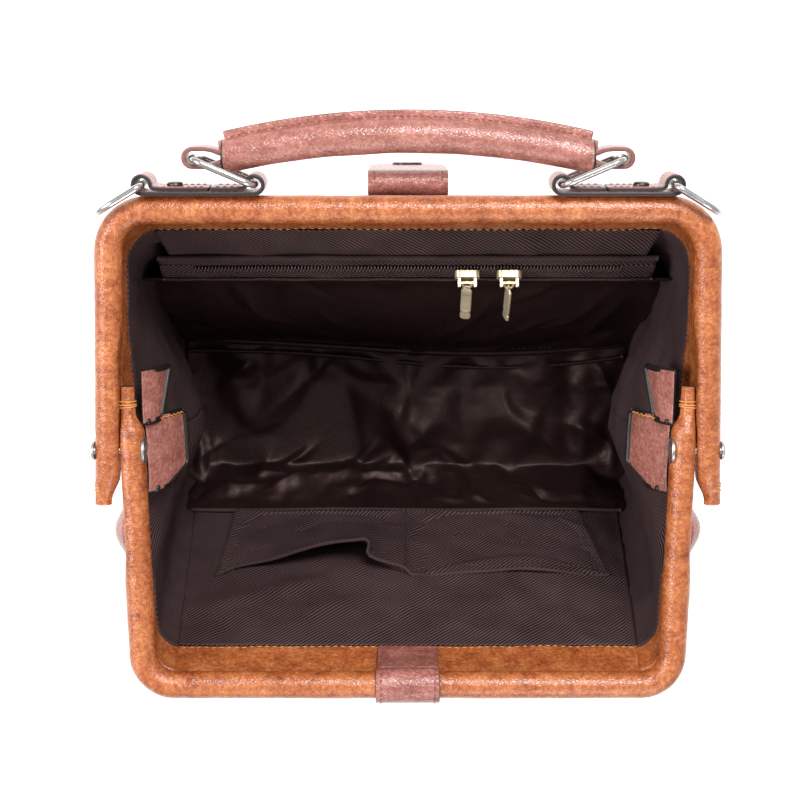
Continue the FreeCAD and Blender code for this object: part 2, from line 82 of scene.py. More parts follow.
barY = -middle("front_tab_sleeve").y
barZ = middle("front_tab_sleeve").z
lean = math.atan2(barY - panelLine.y, barZ - panelLine.z)
panelHeight = math.hypot(barY - panelLine.y, barZ - panelLine.z)
arm = (Vector((0, barY, barZ)) - Vector((0, 0, pivot.z))).length
loopU = (ringEye - pivot).dot(frameUp)
baseHalf = sizeOf("base_leather") / 2
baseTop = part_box("base_leather")[1].z
zipS = (middle("zip_chain").z - panelLine.z) / math.cos(lean) - 4 * mm  # a little below the CAD tape
rolls = dict(radius=6 * mm, splay=math.tan(math.radians(2)), around=28, step=1.6 * mm, flat=4.6 * mm)
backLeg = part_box("hinge_pin_right")[1].x - 7.44 * mm  # centre of each frame's leg at the rivet
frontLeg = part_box("hinge_cap_right")[1].x + 4.8 * mm


def wallPoint(side, x, out, s):  # side is 1 at the back and -1 at the front, out is away from the compartment
    y = panelLine.y + out * math.cos(lean) + s * math.sin(lean)
    return Vector((x, side * y, panelLine.z - out * math.sin(lean) + s * math.cos(lean)))


def framePoint(side, x, u, v=0.0):  # u runs from rivet to bar, v stands up from the frame
    y = u * frameUp.y - v * frameUp.z
    return Vector((x, side * y, pivot.z + u * frameUp.z + v * frameUp.y))


def intoBag(side):  # square to a wall
    return Vector((0, -side * math.cos(lean), math.sin(lean)))


def smooth(t):
    t = min(max(t, 0.0), 1.0)
    return t * t * (3 - 2 * t)


def mix(a, b, t):
    return a + (b - a) * t



class Sock:  # a node's output, with its maths written as plain expressions
    def __init__(self, tree, socket):
        self.tree, self.socket = tree, socket

    def make(self, kind, settings=None, **inputs):
        made = self.tree.nodes.new(kind)
        for key, value in (settings or {}).items():
            if key == "ramp":
                ramp = made.color_ramp
                while len(ramp.elements) < len(value):
                    ramp.elements.new(0.5)
                for stop, (place, colour) in zip(ramp.elements, value):
                    stop.position, stop.color = place, colour
            else:
                setattr(made, key, value)
        for key, value in inputs.items():
            name = key.replace("_", " ")
            slot = made.inputs[int(key[1:])] if key[1:].isdigit() else made.inputs[name]  # i0 is the first
            if isinstance(value, Sock):
                self.tree.links.new(value.socket, slot)
            else:
                slot.default_value = value
        return made

    def get(self, kind, output=0, settings=None, **inputs):
        return Sock(self.tree, self.make(kind, settings, **inputs).outputs[output])

    def math(self, operation, other=0.0, swap=False):
        pair = (other, self) if swap else (self, other)
        return self.get("ShaderNodeMath", 0, {"operation": operation}, i0=pair[0], i1=pair[1])

    def __add__(self, other):
        return self.math("ADD", other)

    def __radd__(self, other):
        return self.math("ADD", other)

    def __sub__(self, other):
        return self.math("SUBTRACT", other)

    def __rsub__(self, other):
        return self.math("SUBTRACT", other, True)

    def __mul__(self, other):
        return self.math("MULTIPLY", other)

    def __rmul__(self, other):
        return self.math("MULTIPLY", other)

    def __pow__(self, other):
        return self.math("POWER", other)

    def sine(self):
        return self.math("SINE")


def newMaterial(name, **constants):
    made = bpy.data.materials.new(name)
    made.use_nodes = True
    tree = made.node_tree
    shader = tree.nodes["Principled BSDF"]
    for key, value in constants.items():
        shader.inputs[key.replace("_", " ")].default_value = value
    place = tree.nodes.new("ShaderNodeTexCoord")
    start = Sock(tree, place.outputs["Object"])
    flat = Sock(tree, place.outputs["UV"])

    def feed(socketName, value):
        tree.links.new(value.socket, shader.inputs[socketName])

    return made, start, flat, feed


def ramped(value, *stops):
    return value.get("ShaderNodeValToRGB", 0, {"ramp": stops}, Fac=value)


def grain(at, scale, detail=3.0, rough=0.6, stretch=None):
    where = at.get("ShaderNodeMapping", 0, None, Vector=at, Scale=stretch) if stretch else at
    return where.get("ShaderNodeTexNoise", 0, None, Vector=where, Scale=scale, Detail=detail, Roughness=rough)


def bumped(at, height, strength, distance, normal=None):
    inputs = dict(Strength=strength, Distance=distance, Height=height)
    if normal:
        inputs["Normal"] = normal
    return at.get("ShaderNodeBump", 0, None, **inputs)


def leather(name, base, dark, light, streak, rough, stretch):
    made, at, flat, feed = newMaterial(name, Coat_Weight=0.14, Coat_Roughness=0.28, Specular_IOR_Level=0.5)
    patches = grain(at, 42, 4, 0.62) - 0.5
    streaks = grain(at, 150, 5, 0.72, stretch) - 0.5
    fine = grain(at, 620, 2, 0.6) - 0.5
    tone = patches * 0.42 + streaks * streak + fine * 0.75 + 0.5
    feed("Base Color", ramped(tone, (0.18, dark), (0.5, base), (0.82, light)))
    cells = at.get("ShaderNodeTexVoronoi", 0, {"feature": "DISTANCE_TO_EDGE"}, Vector=at, Scale=620.0)
    pebble = at.get("ShaderNodeMath", 0, {"operation": "SMOOTH_MIN"}, i0=cells * 2.4, i1=0.5, i2=0.3)
    creases = grain(at, 190, 4, 0.65, stretch)
    skin = bumped(at, pebble + fine * 0.8, 0.30, 0.0006)
    feed("Normal", bumped(at, creases, 0.40, 0.0018, skin))
    feed("Roughness", streaks * 0.22 + pebble * -0.08 + (rough - 0.06))
    return made


def paint(name, colour, rough, bump=0.1, scale=400):
    made, at, flat, feed = newMaterial(name)
    mottle = grain(at, scale, 3, 0.6)
    darker = tuple(c * 0.7 for c in colour[:3]) + (1.0,)
    feed("Base Color", ramped(mottle, (0.3, darker), (0.7, colour)))
    feed("Roughness", mottle * 0.2 + (rough - 0.1))
    feed("Normal", bumped(at, mottle, bump, 0.0005))
    return made


def metal(name, colour, rough, scratch, metallic=1.0):
    made, at, flat, feed = newMaterial(name, Metallic=metallic, Specular_IOR_Level=0.6)
    wear = grain(at, 900, 3, 0.7)
    spots = grain(at, 120, 2, 0.5)
    deep = tuple(c * 0.78 for c in colour[:3]) + (1.0,)
    feed("Base Color", ramped(spots, (0.3, deep), (0.62, colour)))
    feed("Roughness", wear * scratch + spots * 0.08 + (rough - 0.04))
    feed("Normal", bumped(at, wear, 0.05, 0.0002))
    return made


def twill(name, colour, light, pitch, satin=False):
    gloss = dict(Specular_IOR_Level=0.42 if satin else 0.16, Specular_Tint=(0.95, 0.66, 0.62, 1))
    made, at, flat, feed = newMaterial(name, **gloss)
    split = flat.make("ShaderNodeSeparateXYZ", None, Vector=flat)
    across, up = Sock(flat.tree, split.outputs[0]), Sock(flat.tree, split.outputs[1])
    turn = 2 * math.pi / pitch
    rib = (((across + up) * turn).sine() * 0.5 + 0.5) ** 1.6
    thread = ((across - up) * (turn * 2.3)).sine() * 0.5 + 0.5
    cloud = grain(at, 34, 4, 0.6)
    weave = rib * (0.16 if satin else 0.66) + thread * 0.14
    tone = weave + cloud * 0.42 - (0.0 if satin else 0.1)
    feed("Base Color", ramped(tone, (0.12, colour), (0.92, light)))
    feed("Roughness", cloud * 0.16 + rib * 0.06 + (0.34 if satin else 0.58))
    fine = grain(at, 240, 4, 0.65)
    soft = bumped(at, fine, 0.22 if satin else 0.10, 0.0012)
    feed("Normal", bumped(at, weave, 0.10 if satin else 0.42, 0.0004, soft))
    return made


# base, dark and light tone of each leather
tanTones = ((0.35, 0.094, 0.027, 1), (0.145, 0.029, 0.009, 1), (0.52, 0.20, 0.073, 1))
tan = leather("tanRoll", *tanTones, 0.95, 0.37, (1.0, 0.45, 1.0))
tanLeg = leather("tanLeg", *tanTones, 0.95, 0.37, (0.45, 1.0, 1.0))
mauveTones = ((0.27, 0.092, 0.072, 1), (0.135, 0.040, 0.032, 1), (0.43, 0.185, 0.15, 1))
mauve = leather("mauveLeather", *mauveTones, 0.9, 0.36, (0.6, 1.0, 1.0))
# a lighter copy of the mauve leather, painted light that makes the hinge flaps look brightly lit; the
# handle's grip and flange use it as well
litMauveTones = ((0.31, 0.115, 0.090, 1), (0.17, 0.052, 0.038, 1), (0.47, 0.21, 0.175, 1))
litMauve = leather("litMauve", *litMauveTones, 0.9, 0.34, (0.6, 1.0, 1.0))
mauveEdge = paint("mauveEdge", (0.20, 0.075, 0.06, 1), 0.5)
black = paint("edgePaint", (0.012, 0.010, 0.010, 1), 0.42)
rust = paint("rustThread", (0.30, 0.075, 0.045, 1), 0.6, 0.3, 900)
amber = paint("amberThread", (0.66, 0.27, 0.07, 1), 0.6, 0.3, 900)
brownThread = paint("brownThread", (0.045, 0.026, 0.024, 1), 0.6, 0.3, 900)
liningTwill = twill("liningTwill", (0.0060, 0.0030, 0.0030, 1), (0.108, 0.067, 0.068, 1), 2.3 * mm)
liningSatin = twill("liningSatin", (0.0070, 0.0030, 0.0028, 1), (0.030, 0.0142, 0.0130, 1), 0.9 * mm, True)
nickel = metal("nickel", (0.66, 0.65, 0.64, 1), 0.16, 0.14)
brass = metal("paleBrass", (1.0, 0.84, 0.58, 1), 0.24, 0.10, 0.68)
steel = metal("rivetSteel", (0.46, 0.45, 0.45, 1), 0.30, 0.2)
bronze = metal("darkBronze", (0.11, 0.085, 0.075, 1), 0.30, 0.15)
coil = paint("zipCoil", (0.060, 0.036, 0.033, 1), 0.30, 0.1, 500)
board = paint("pulpBoard", (0.30, 0.24, 0.18, 1), 0.8, 0.3, 300)
filler = paint("cordFiller", (0.62, 0.56, 0.46, 1), 0.8, 0.5, 500)
print("materials made")


def addObject(name, verts, faces, material, uv=None):
    mesh = bpy.data.meshes.new(name)
    mesh.from_pydata([tuple(v) for v in verts], [], faces)
    mesh.validate()
    if uv is not None:
        layer = mesh.uv_layers.new(name="cut")
        index = np.empty(len(mesh.loops), np.int32)
        mesh.loops.foreach_get("vertex_index", index)
        layer.data.foreach_set("uv", np.asarray(uv, np.float32)[index].ravel())
    made = bpy.data.objects.new(name, mesh)
    bpy.context.scene.collection.objects.link(made)
    for each in (material if isinstance(material, list) else [material]):
        mesh.materials.append(each)
    mesh.polygons.foreach_set("use_smooth", [True] * len(mesh.polygons))
    return made


def gridFaces(rows, cols, wrapRows=False, wrapCols=False):
    faces = []
    for i in range(rows if wrapRows else rows - 1):
        for j in range(cols if wrapCols else cols - 1):
            k, n = (i + 1) % rows, (j + 1) % cols
            faces.append((i * cols + j, i * cols + n, k * cols + n, k * cols + j))
    return faces


def addBead(verts, faces, rings):  # one closed bead from rings of points
    first, around = len(verts), len(rings[0])
    for ring in rings:
        verts += ring
    faces += [tuple(first + v for v in face) for face in gridFaces(len(rings), around, False, True)]
    last = first + (len(rings) - 1) * around
    faces += [tuple(first + a for a in reversed(range(around))), tuple(last + a for a in range(around))]


# point gives a place for two shares, across the sheet and up it
def sheetMesh(name, point, rows, cols, material, size):
    verts, uv = [], []
    for i in range(rows):
        for j in range(cols):
            verts.append(point(j / (cols - 1), i / (rows - 1)))
            uv.append((j / (cols - 1) * size[0], i / (rows - 1) * size[1]))
    return addObject(name, verts, gridFaces(rows, cols), material, uv)


def bake(obj):  # turns the modifiers into the mesh
    graph = bpy.context.evaluated_depsgraph_get()
    graph.update()
    mesh = bpy.data.meshes.new_from_object(obj.evaluated_get(graph))
    obj.modifiers.clear()
    obj.data = mesh
    return obj


def thick(obj, thickness, offset=0.0, rim=0, bevel=0.0, subdivide=0):
    if subdivide:
        obj.modifiers.new("soft", "SUBSURF").levels = subdivide
    solid = obj.modifiers.new("thick", "SOLIDIFY")
    solid.thickness, solid.offset, solid.material_offset_rim = thickness, offset, rim
    solid.use_quality_normals = True
    if bevel:
        edging = obj.modifiers.new("round", "BEVEL")
        edging.width, edging.segments, edging.limit_method = bevel, 2, "ANGLE"
        edging.angle_limit = math.radians(50)
    return bake(obj)


def lengths(points):
    total, out = 0.0, [0.0]
    for a, b in zip(points, points[1:]):
        total += (b - a).length
        out.append(total)
    return out


def placesAlong(points, along, targets):  # the segment and the point at each distance
    k = 0
    for target in targets:
        while k < len(along) - 2 and along[k + 1] < target:
            k += 1
        t = (target - along[k]) / max(along[k + 1] - along[k], 1e-9)
        yield k, points[k].lerp(points[k + 1], min(max(t, 0), 1))


def resample(points, step):
    along = lengths(points)
    count = max(int(along[-1] / step), 2)
    return [p for _, p in placesAlong(points, along, [along[-1] * i / count for i in range(count + 1)])]


def rounded(points, times=3, closed=False):  # cuts corners, for straps that bend softly
    for _ in range(times):
        out = [] if closed else [points[0]]
        pairs = list(zip(points, points[1:] + points[:1] if closed else points[1:]))
        for a, b in pairs:
            out += [a.lerp(b, 0.25), a.lerp(b, 0.75)]
        points = out if closed else out + [points[-1]]
    return points


# section gives the offsets along side x tangent and along side, for a place on the path and an angle
def tube(name, points, side, section, material, closed=False):
    verts, uv, count, around = [], [], len(points), section.around
    along = lengths(points)
    for i, p in enumerate(points):
        before = points[i - 1] if i or closed else p
        after = points[(i + 1) % count] if i < count - 1 or closed else p
        tangent = (after - before).normalized()
        across = side.cross(tangent).normalized()
        for k in range(around):
            angle = 2 * math.pi * k / around
            a, b = section(along[i], along[-1], angle)
            verts.append(p + across * a + side * b)
            uv.append((along[i], k / around * 0.04))
    faces = gridFaces(count, around, closed, True)
    if not closed:
        faces.append(tuple(range(around)))
        faces.append(tuple(reversed(range((count - 1) * around, count * around))))
    return addObject(name, verts, faces, material, uv)


class Round:  # a round section of one radius
    def __init__(self, radius, around=10):
        self.radius, self.around = radius, around

    def __call__(self, at, total, angle):
        return self.radius * math.cos(angle), self.radius * math.sin(angle)


# a strap along points; wide is its sideways direction, width a number or a function of the share along it
def ribbon(name, points, wide, width, thickness, material, across=7, step=1.2 * mm, edge=black):
    points = resample(points, step)
    verts, uv = [], []
    along = lengths(points)
    for i, p in enumerate(points):
        w = width(along[i] / along[-1]) if callable(width) else width
        for j in range(across):
            t = j / (across - 1) - 0.5
            verts.append(p + wide * (t * w))
            uv.append((along[i], t * w))
    made = addObject(name, verts, gridFaces(len(points), across), [material, edge], uv)
    return thick(made, thickness, 0.0, 1, min(thickness * 0.28, 0.5 * mm))


# a row of stitches on a surface; up is its normal, one vector or one for each point
def stitches(name, points, up, material, pitch=3.0 * mm, size=stitchSize["plain"]):
    along = lengths(points)
    verts, faces, ringCount, around = [], [], 5, 6
    count = int(along[-1] / pitch)
    middles = [(n + 0.5) * along[-1] / count for n in range(count)]
    for k, centre in placesAlong(points, along, middles):
        tangent = (points[k + 1] - points[k]).normalized()
        normal = up[k] if isinstance(up, list) else up
        normal = (normal - tangent * normal.dot(tangent)).normalized()
        side = tangent.cross(normal)
        rings = []
        for r in range(ringCount):
            bow = math.pi * r / (ringCount - 1)
            thin = size[1] * max(math.sin(bow), 0.12)
            at = centre - tangent * (math.cos(bow) * size[0] / 2) + normal * (0.5 * thin)
            turns = [2 * math.pi * a / around for a in range(around)]
            rings.append([at + (side * math.cos(t) + normal * math.sin(t) * 0.8) * thin for t in turns])
        addBead(verts, faces, rings)
    return addObject(name, verts, faces, material)


def place(obj, body, node=None, slot="body_leather"):
    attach(obj, body)
    if node:
        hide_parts(node)


def declareSheet(obj, tall, held, rests, slot, **more):  # its flat width comes from its own area
    area = sum(p.area for p in obj.data.polygons) / 2
    area / tall


def wobble(x, y, z, scale, seed=0.0):
    return noise.noise(Vector((x * scale + seed, y * scale - seed, z * scale + seed * 0.5)))


shell = dict(
    baseHalfX=baseHalf.x - 1.6 * mm, baseHalfY=panelLine.y + 0.6 * mm, baseCorner=12 * mm,
    topS=panelHeight - 4.5 * mm, cornerBack=18 * mm, cornerFront=14 * mm,
    wallShare=0.5, arcShare=0.62, splitShare=0.56,  # shares of half a ring: wall, corner, then gusset
    fold=19 * mm, foldAt=0.47, bulge=4.2 * mm, knuckle=16 * mm, swell=12.5 * mm,
    welt=1.5 * mm, stitchStep=3.2 * mm, rows=60,
)


def roundEnd(wide, past, least):  # a strap's width where its rounded end has begun, past runs from 0 to 1
    return wide * math.sqrt(max(1 - max(0.0, past) ** 2, least))


def legLine(side, y):  # centre of the frame's leg at that distance from the rivets
    start = backLeg if side > 0 else frontLeg
    meet = (backLeg + frontLeg) / 2 - 1 * mm
    lineX = start - rolls["splay"] * abs(y)
    return mix(meet, lineX, smooth(abs(y) / shell["knuckle"]))


def ringPlan(side, share, inset, top):
    s = shell
    if top:
        yOut = wallPoint(1, 0, 0, s["topS"]).y - inset
        corner = (s["cornerBack"] if side > 0 else s["cornerFront"]) - inset * 0.5
        xOut = legLine(side, yOut) - inset
    else:
        yOut, xOut, corner = s["baseHalfY"] - inset, s["baseHalfX"] - inset, s["baseCorner"] - inset * 0.5
    if share <= s["wallShare"]:
        return (xOut - corner) * share / s["wallShare"], yOut
    if share <= s["arcShare"]:
        turn = (share - s["wallShare"]) / (s["arcShare"] - s["wallShare"]) * math.pi / 2
        return xOut - corner + corner * math.sin(turn), yOut - corner + corner * math.cos(turn)
    y = (yOut - corner) * (1 - (share - s["arcShare"]) / (1 - s["arcShare"]))
    return (legLine(side, y) - inset if top else xOut), y


def shellPoint(side, sx, share, h, inset=0.0, bulge=None):
    s = shell
    lowX, lowY = ringPlan(side, share, inset, False)
    highX, highY = ringPlan(side, share, inset, True)
    x, y = mix(lowX, highX, h), mix(lowY, highY, h)
    lowZ = baseTop + 0.3 * mm
    highZ = framePoint(1, 0, highY / frameUp.y).z - 3.6 * mm
    z = mix(lowZ, highZ, h)
    if share > s["arcShare"]:
        t = (share - s["arcShare"]) / (1 - s["arcShare"])
        if h < s["foldAt"]:
            rise = math.sin(math.pi * min(h / s["foldAt"], 1) / 2)
        else:
            rise = math.cos(math.pi * (h - s["foldAt"]) / (1 - s["foldAt"]) / 2)
        x -= s["fold"] * max(rise, 0) ** 1.2 * (0.5 - 0.5 * math.cos(math.pi * t)) ** 1.1
        if side < 0:
            x += s["swell"] * math.exp(-((y - 38 * mm) / (15 * mm)) ** 2 - ((h - 0.93) / 0.075) ** 2)
    puff = s["bulge"] if bulge is None else bulge
    if share < s["wallShare"] and puff:
        y += puff * math.sin(math.pi * h) * (1 - (share / s["wallShare"]) ** 4)
    return Vector((sx * x, side * y, z))


# a strip of the wall between two heights; inset is a number or a function of the height
def wallStrip(side, low, high, inset, edge, rows, cols, name, material, wave=0.0, seed=0.0, bulge=None):
    deep = inset if callable(inset) else (lambda h: inset)

    def point(a, b):
        share = (a * 2 - 1) * edge
        h = mix(low, high, b)
        p = shellPoint(side, 1 if share >= 0 else -1, abs(share), h, deep(h), bulge)
        if wave:
            hold = min(1, 6 * b * (1 - b) + 0.15)
            ripple = wobble(p.x, p.z, 0, 55, seed) + 0.6 * wobble(p.x, p.z, 0, 130, seed + 3)
            p.y += side * wave * hold * ripple
        return p

    width = 2 * abs(point(1, 0.5).x)
    height = (high - low) * shell["topS"]
    return sheetMesh(name, point, rows, cols, material, (width, height)), point, (width, height)


def outerShell():
    rows, split = shell["rows"], shell["splitShare"]
    for side, word in sides:
        body = word + "_wall"
        wall, point, size = wallStrip(side, 0.0, 1.0, -0.2 * mm, split, rows, 91, word + "Leather", mauve,
                                      0.5 * mm, side * 5.0)
        place(thick(wall, 1.5 * mm, -1.0), body, word + "_panel")
        outward = -intoBag(side)
        for row, h in (("Low", 0.045), ("High", 0.945)):
            line = [point(a / 120, h) for a in range(3, 118)]
            place(stitches(f"{word}Stitch{row}", line, outward, rust, shell["stitchStep"]), body)
        for sx, hand in hands:
            line = [shellPoint(side, sx, split, h / rows, -1.2 * mm) for h in range(rows - 2)]
            place(tube(f"{word}Welt{hand}", line, Vector((0, side, 0)), Round(shell["welt"]), mauve), body)
            line = [shellPoint(side, sx, shell["wallShare"] * 0.985, h / 90, -0.2 * mm) for h in range(4, 84)]
            place(stitches(f"{word}SeamStitch{hand}", line, outward, rust, shell["stitchStep"]), body)
            gussetHalf(side, sx, word, hand)


# bakes the piece's place into its mesh; a point on the wall at that depth and a run further in are worked out
# but not used
def blendToWall(obj, side, depth, run):
    near = wallPoint(side, 0, -depth, 90 * mm)
    wallBody = ("back" if side > 0 else "front") + "_wall"
    near + intoBag(side) * run
    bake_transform(obj)


def flapMove(obj, side):  # the front flaps go down with the rivets, the back ones stay between the walls
    if side < 0:
        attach(obj, "hinge_yoke")
    else:
        blendToWall(obj, side, 13 * mm, 89 * mm)


# layers of a gusset's half, as inset, low and high share of its height, material, thickness, slot and wave
gussetLayers = {
    "": (0.0, 0.0, 1.0, mauve, 1.4 * mm, "body_leather", 0.5 * mm),
    "Lining": (3.6 * mm, 0.02, 0.90, liningTwill, 0.6 * mm, "lining_twill", 1.0 * mm),
    "Facing": (3.1 * mm, 0.885, 1.0, tanLeg, 1.0 * mm, "trim_leather", 0.7 * mm),
}


def gussetHalf(side, sx, word, hand):
    for layer, (inset, low, high, material, depth, slot, wave) in gussetLayers.items():
        first = shell["splitShare"] if inset == 0 else shell["wallShare"] + 0.015
        tall = (high - low) * shell["topS"]

        def point(a, b):
            h = mix(low, high, b)
            p = shellPoint(side, sx, mix(first, 1.0, a), h, inset)
            p.x += sx * wave * (wobble(p.x, p.y, p.z, 60, sx * 4.0) + 0.5 * wobble(p.x, p.y, p.z, 150, 7.0))
            return p

        rows = 10 if layer == "Facing" else 56
        made = sheetMesh(f"{word}Gusset{layer}{hand}", point, rows, 44, material, (0.1, tall))
        thick(made, depth)
        if layer == "Lining":
            declareSheet(made, tall, "hung", [f"{word}Gusset{hand}"], slot)
        if layer != "Facing":
            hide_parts(f"gusset_{'lining' if layer else 'leather'}_{hand.lower()}")
        blendToWall(made, side, 3 * mm, 93 * mm)


outerShell()
print("shell made")

# profile goes from under the base to inside its rim, as inset and height in mm
tray = dict(corner=14 * mm, stitchZ=6.6 * mm,
            profile=[(9, 0.02), (3.2, 0.0), (1.2, 0.25), (0.3, 1.1), (0.0, 2.6), (0.0, 8.6), (0.3, 9.6),
                     (1.3, 10.1), (2.4, 10.0)])


def roundedRectangle(halfX, halfY, corner, z, steps=10, straight=22):
    def onCorner(signX, signY, angle):
        return Vector((signX * (halfX - corner) + corner * math.cos(angle),
                       signY * (halfY - corner) + corner * math.sin(angle), z))

    points, turns = [], [(1, 1), (-1, 1), (-1, -1), (1, -1)]
    for start, (signX, signY) in enumerate(turns):
        points += [onCorner(signX, signY, (start + k / steps) * math.pi / 2) for k in range(steps + 1)]
        last, end = points[-1].copy(), onCorner(*turns[(start + 1) % 4], (start + 1) * math.pi / 2)
        points += [last.lerp(end, k / straight) for k in range(1, straight)]
    return points


def baseTray():
    halfX, halfY, corner = baseHalf.x, baseHalf.y, tray["corner"]
    rings = [roundedRectangle(halfX - i * mm, halfY - i * mm, max(corner - i * mm, 3 * mm), z * mm)
             for i, z in tray["profile"]]
    count = len(rings[0])
    verts = [v for ring in rings for v in ring]
    faces = gridFaces(len(rings), count, False, True)
    faces.append(tuple(reversed(range(count))))
    tub = addObject("baseTray", verts, faces, [mauve], [(v.x, v.y + v.z) for v in verts])
    place(tub, "base", "base_leather")
    line = roundedRectangle(halfX - 0.2 * mm, halfY - 0.2 * mm, corner, baseTop)
    place(tube("baseWelt", line, Vector((0, 0, 1)), Round(shell["welt"]), mauve, closed=True), "base")
    row = roundedRectangle(halfX + 0.02 * mm, halfY + 0.02 * mm, corner, tray["stitchZ"])
    ups = [Vector((p.x / halfX if abs(p.x) > halfX - 15 * mm else 0, p.y / halfY, 0)) for p in row]
    ups = [up.normalized() for up in ups]
    place(stitches("baseStitch", row + row[:1], ups + ups[:1], rust, shell["stitchStep"]), "base")


baseTray()
print("base made")

tips = dict(back=24 * mm, front=28 * mm, thin=3.5 * mm, taperFrom=8 * mm,
            ties=(6.5 * mm, 8.0 * mm, 9.0 * mm), tieHalf=(3.75 * mm, 3.2 * mm))


def legPath(side, half, corner, tip):
    splay = rolls["splay"]
    right = [Vector((half - u * splay, u, 0)) for u in (-tip, arm)]
    corners = right + [Vector((-p.x, p.y, 0)) for p in reversed(right)]
    line = [corners[0]]
    for before, at, after in zip(corners, corners[1:], corners[2:]):
        into, out = (at - before).normalized(), (after - at).normalized()
        halfTurn = into.angle(out) / 2
        cut = corner * math.tan(halfTurn)
        centreAt = at + (out - into).normalized() * (corner / math.cos(halfTurn))
        first = at - into * cut - centreAt
        last = at + out * cut - centreAt
        for k in range(13):
            line.append(centreAt + first.normalized().slerp(last.normalized(), k / 12) * corner)
    line.append(corners[-1])
    return [framePoint(side, p.x, p.y) for p in resample(line, rolls["step"])]


class RollSection:  # the leather roll: round, pressed flat at the rivets, thin and folded at its tips
    def __init__(self, side, tip):
        self.side, self.tip, self.around = side, tip, rolls["around"]

    def __call__(self, at, total, angle):
        fromTip = min(at, total - at)
        u = fromTip - self.tip
        radius = rolls["radius"] * (1 + 0.018 * wobble(at, 0, 0, 70, self.side * 9.0))
        c, n = math.cos(angle), math.sin(angle)
        radius += 0.16 * mm * wobble(at * 3, c * 0.01, n * 0.01, 120, self.side * 2.0)
        neck = smooth((-u - tips["taperFrom"]) / ((15 if self.side > 0 else 8) * mm))
        radius = mix(radius, tips["thin"], neck)
        radius += neck * (1 - neck * 0.5) * 0.35 * mm * math.sin(angle * 7 + 2 * wobble(at, 0, 0, 150, 3.0))
        a, b = radius * c, radius * n
        a -= self.side * neck * (2.5 * mm if self.side > 0 else 1.0 * mm)  # the outer line stays straight
        if u < 60 * mm:  # pressed flat towards the other frame's leg
            limit = rolls["flat"] + smooth((u - 42 * mm) / (18 * mm)) * 1.5 * mm
            if self.side < 0 and u < 0:
                limit -= 2 * rolls["splay"] * min(-u, 30 * mm) * 0.9
            a = min(a, limit)
        if u < -2 * mm:  # the tips are pressed a little flatter than round
            b *= mix(1.0, 0.82, smooth(-u / self.tip))
        return a, b


def rollFrame(side):
    word = "back" if side > 0 else "front"
    half = backLeg if side > 0 else frontLeg
    tip = tips[word]
    line = legPath(side, half, shell["cornerBack"] if side > 0 else shell["cornerFront"], tip)
    normal = (framePoint(side, 0, 0, 1) - framePoint(side, 0, 0, 0)).normalized()
    section = RollSection(side, tip)
    roll = tube(word + "Roll", line, normal, section, [tan, black, tanLeg])
    centreU = arm - 24 * mm  # the legs' grain runs the other way
    for face in roll.data.polygons:
        c = face.center
        u = abs(c.y) / frameUp.y
        if len(face.vertices) > 4:
            face.material_index = 1
        elif u < centreU and abs(c.x) > 90 * mm:
            face.material_index = 2
    roll.modifiers.new("soft", "SUBSURF").levels = 1
    bake(roll)
    place(roll, word + "_frame", word + "_frame_roll", "trim_leather")
    tieUp = frameUp if side > 0 else Vector((0, -frameUp.y, frameUp.z))
    halfX, halfV = tips["tieHalf"]
    for sx, hand in hands:  # a thread ties each tip
        for turn, up in enumerate(tips["ties"]):
            u = up - tip
            x = half - u * rolls["splay"] + (2.4 if side > 0 else 0.9) * mm
            ring = []
            for k in range(24):
                c, n = math.cos(2 * math.pi * k / 24), math.sin(2 * math.pi * k / 24)
                ring.append(framePoint(side, sx * (x + halfX * c), u + turn * 0.2 * mm * c, halfV * n))
            name = f"{word}TipThread{hand}{turn + 1}"
            tie = tube(name, ring, tieUp, Round(0.34 * mm, 6), amber, closed=True)
            place(tie, word + "_frame", slot="trim_leather")
    return normal


backNormal = rollFrame(1)
rollFrame(-1)
print("frames rolled")

lining = dict(facingLow=0.885, zipInset=14.4 * mm, wallInset=3.4 * mm, cloth=0.5 * mm, clear=2.0 * mm)
zipTilt = math.radians(20)  # the tape's lower edge stands forward


def zipPoint(x, along, out):  # along goes up the tape and out stands up from it
    centre = wallPoint(1, x, -lining["zipInset"], zipS)
    inward, up = intoBag(1), Vector((0, math.sin(lean), math.cos(lean)))
    tapeUp = up * math.cos(zipTilt) - inward * math.sin(zipTilt)
    tapeOut = up * math.sin(zipTilt) + inward * math.cos(zipTilt)
    return centre + tapeUp * along + tapeOut * out


def backInset(h):  # the upper lining comes forward to the tape
    s = h * shell["topS"]
    return mix(lining["zipInset"] - 3.4 * mm, lining["wallInset"], smooth((s - zipS - 7 * mm) / (34 * mm)))


clothSettings = dict(quality=6, mass=0.18, tension_stiffness=12, compression_stiffness=12, shear_stiffness=4,
                     air_damping=2.5, vertex_group_mass="sewn")


# cloth that is larger than the frame it is sewn to by the share grow; cap is the furthest that a point goes
def slack(obj, pinned, grow, frames, gravity, bending, cap):
    scene = bpy.context.scene
    rest = np.array([v.co for v in obj.data.vertices])
    group = obj.vertex_groups.new(name="sewn")
    for v in obj.data.vertices:
        if pinned(v.index):
            group.add([v.index], 1.0, "REPLACE")
    cloth = obj.modifiers.new("cloth", "CLOTH")
    for key, value in dict(clothSettings, bending_stiffness=bending, shrink_min=-grow).items():
        setattr(cloth.settings, key, value)
    cloth.settings.effector_weights.gravity = gravity
    cloth.point_cache.frame_start, cloth.point_cache.frame_end = 1, frames
    for f in range(1, frames + 1):
        scene.frame_set(f)
    bake(obj)
    scene.frame_set(1)
    shift = np.array([v.co for v in obj.data.vertices]) - rest
    far = np.linalg.norm(shift, axis=1)
    shift *= (np.minimum(far, cap) / np.maximum(far, 1e-9))[:, None]
    for v, co in zip(obj.data.vertices, rest + shift):
        v.co = co
    obj.vertex_groups.clear()


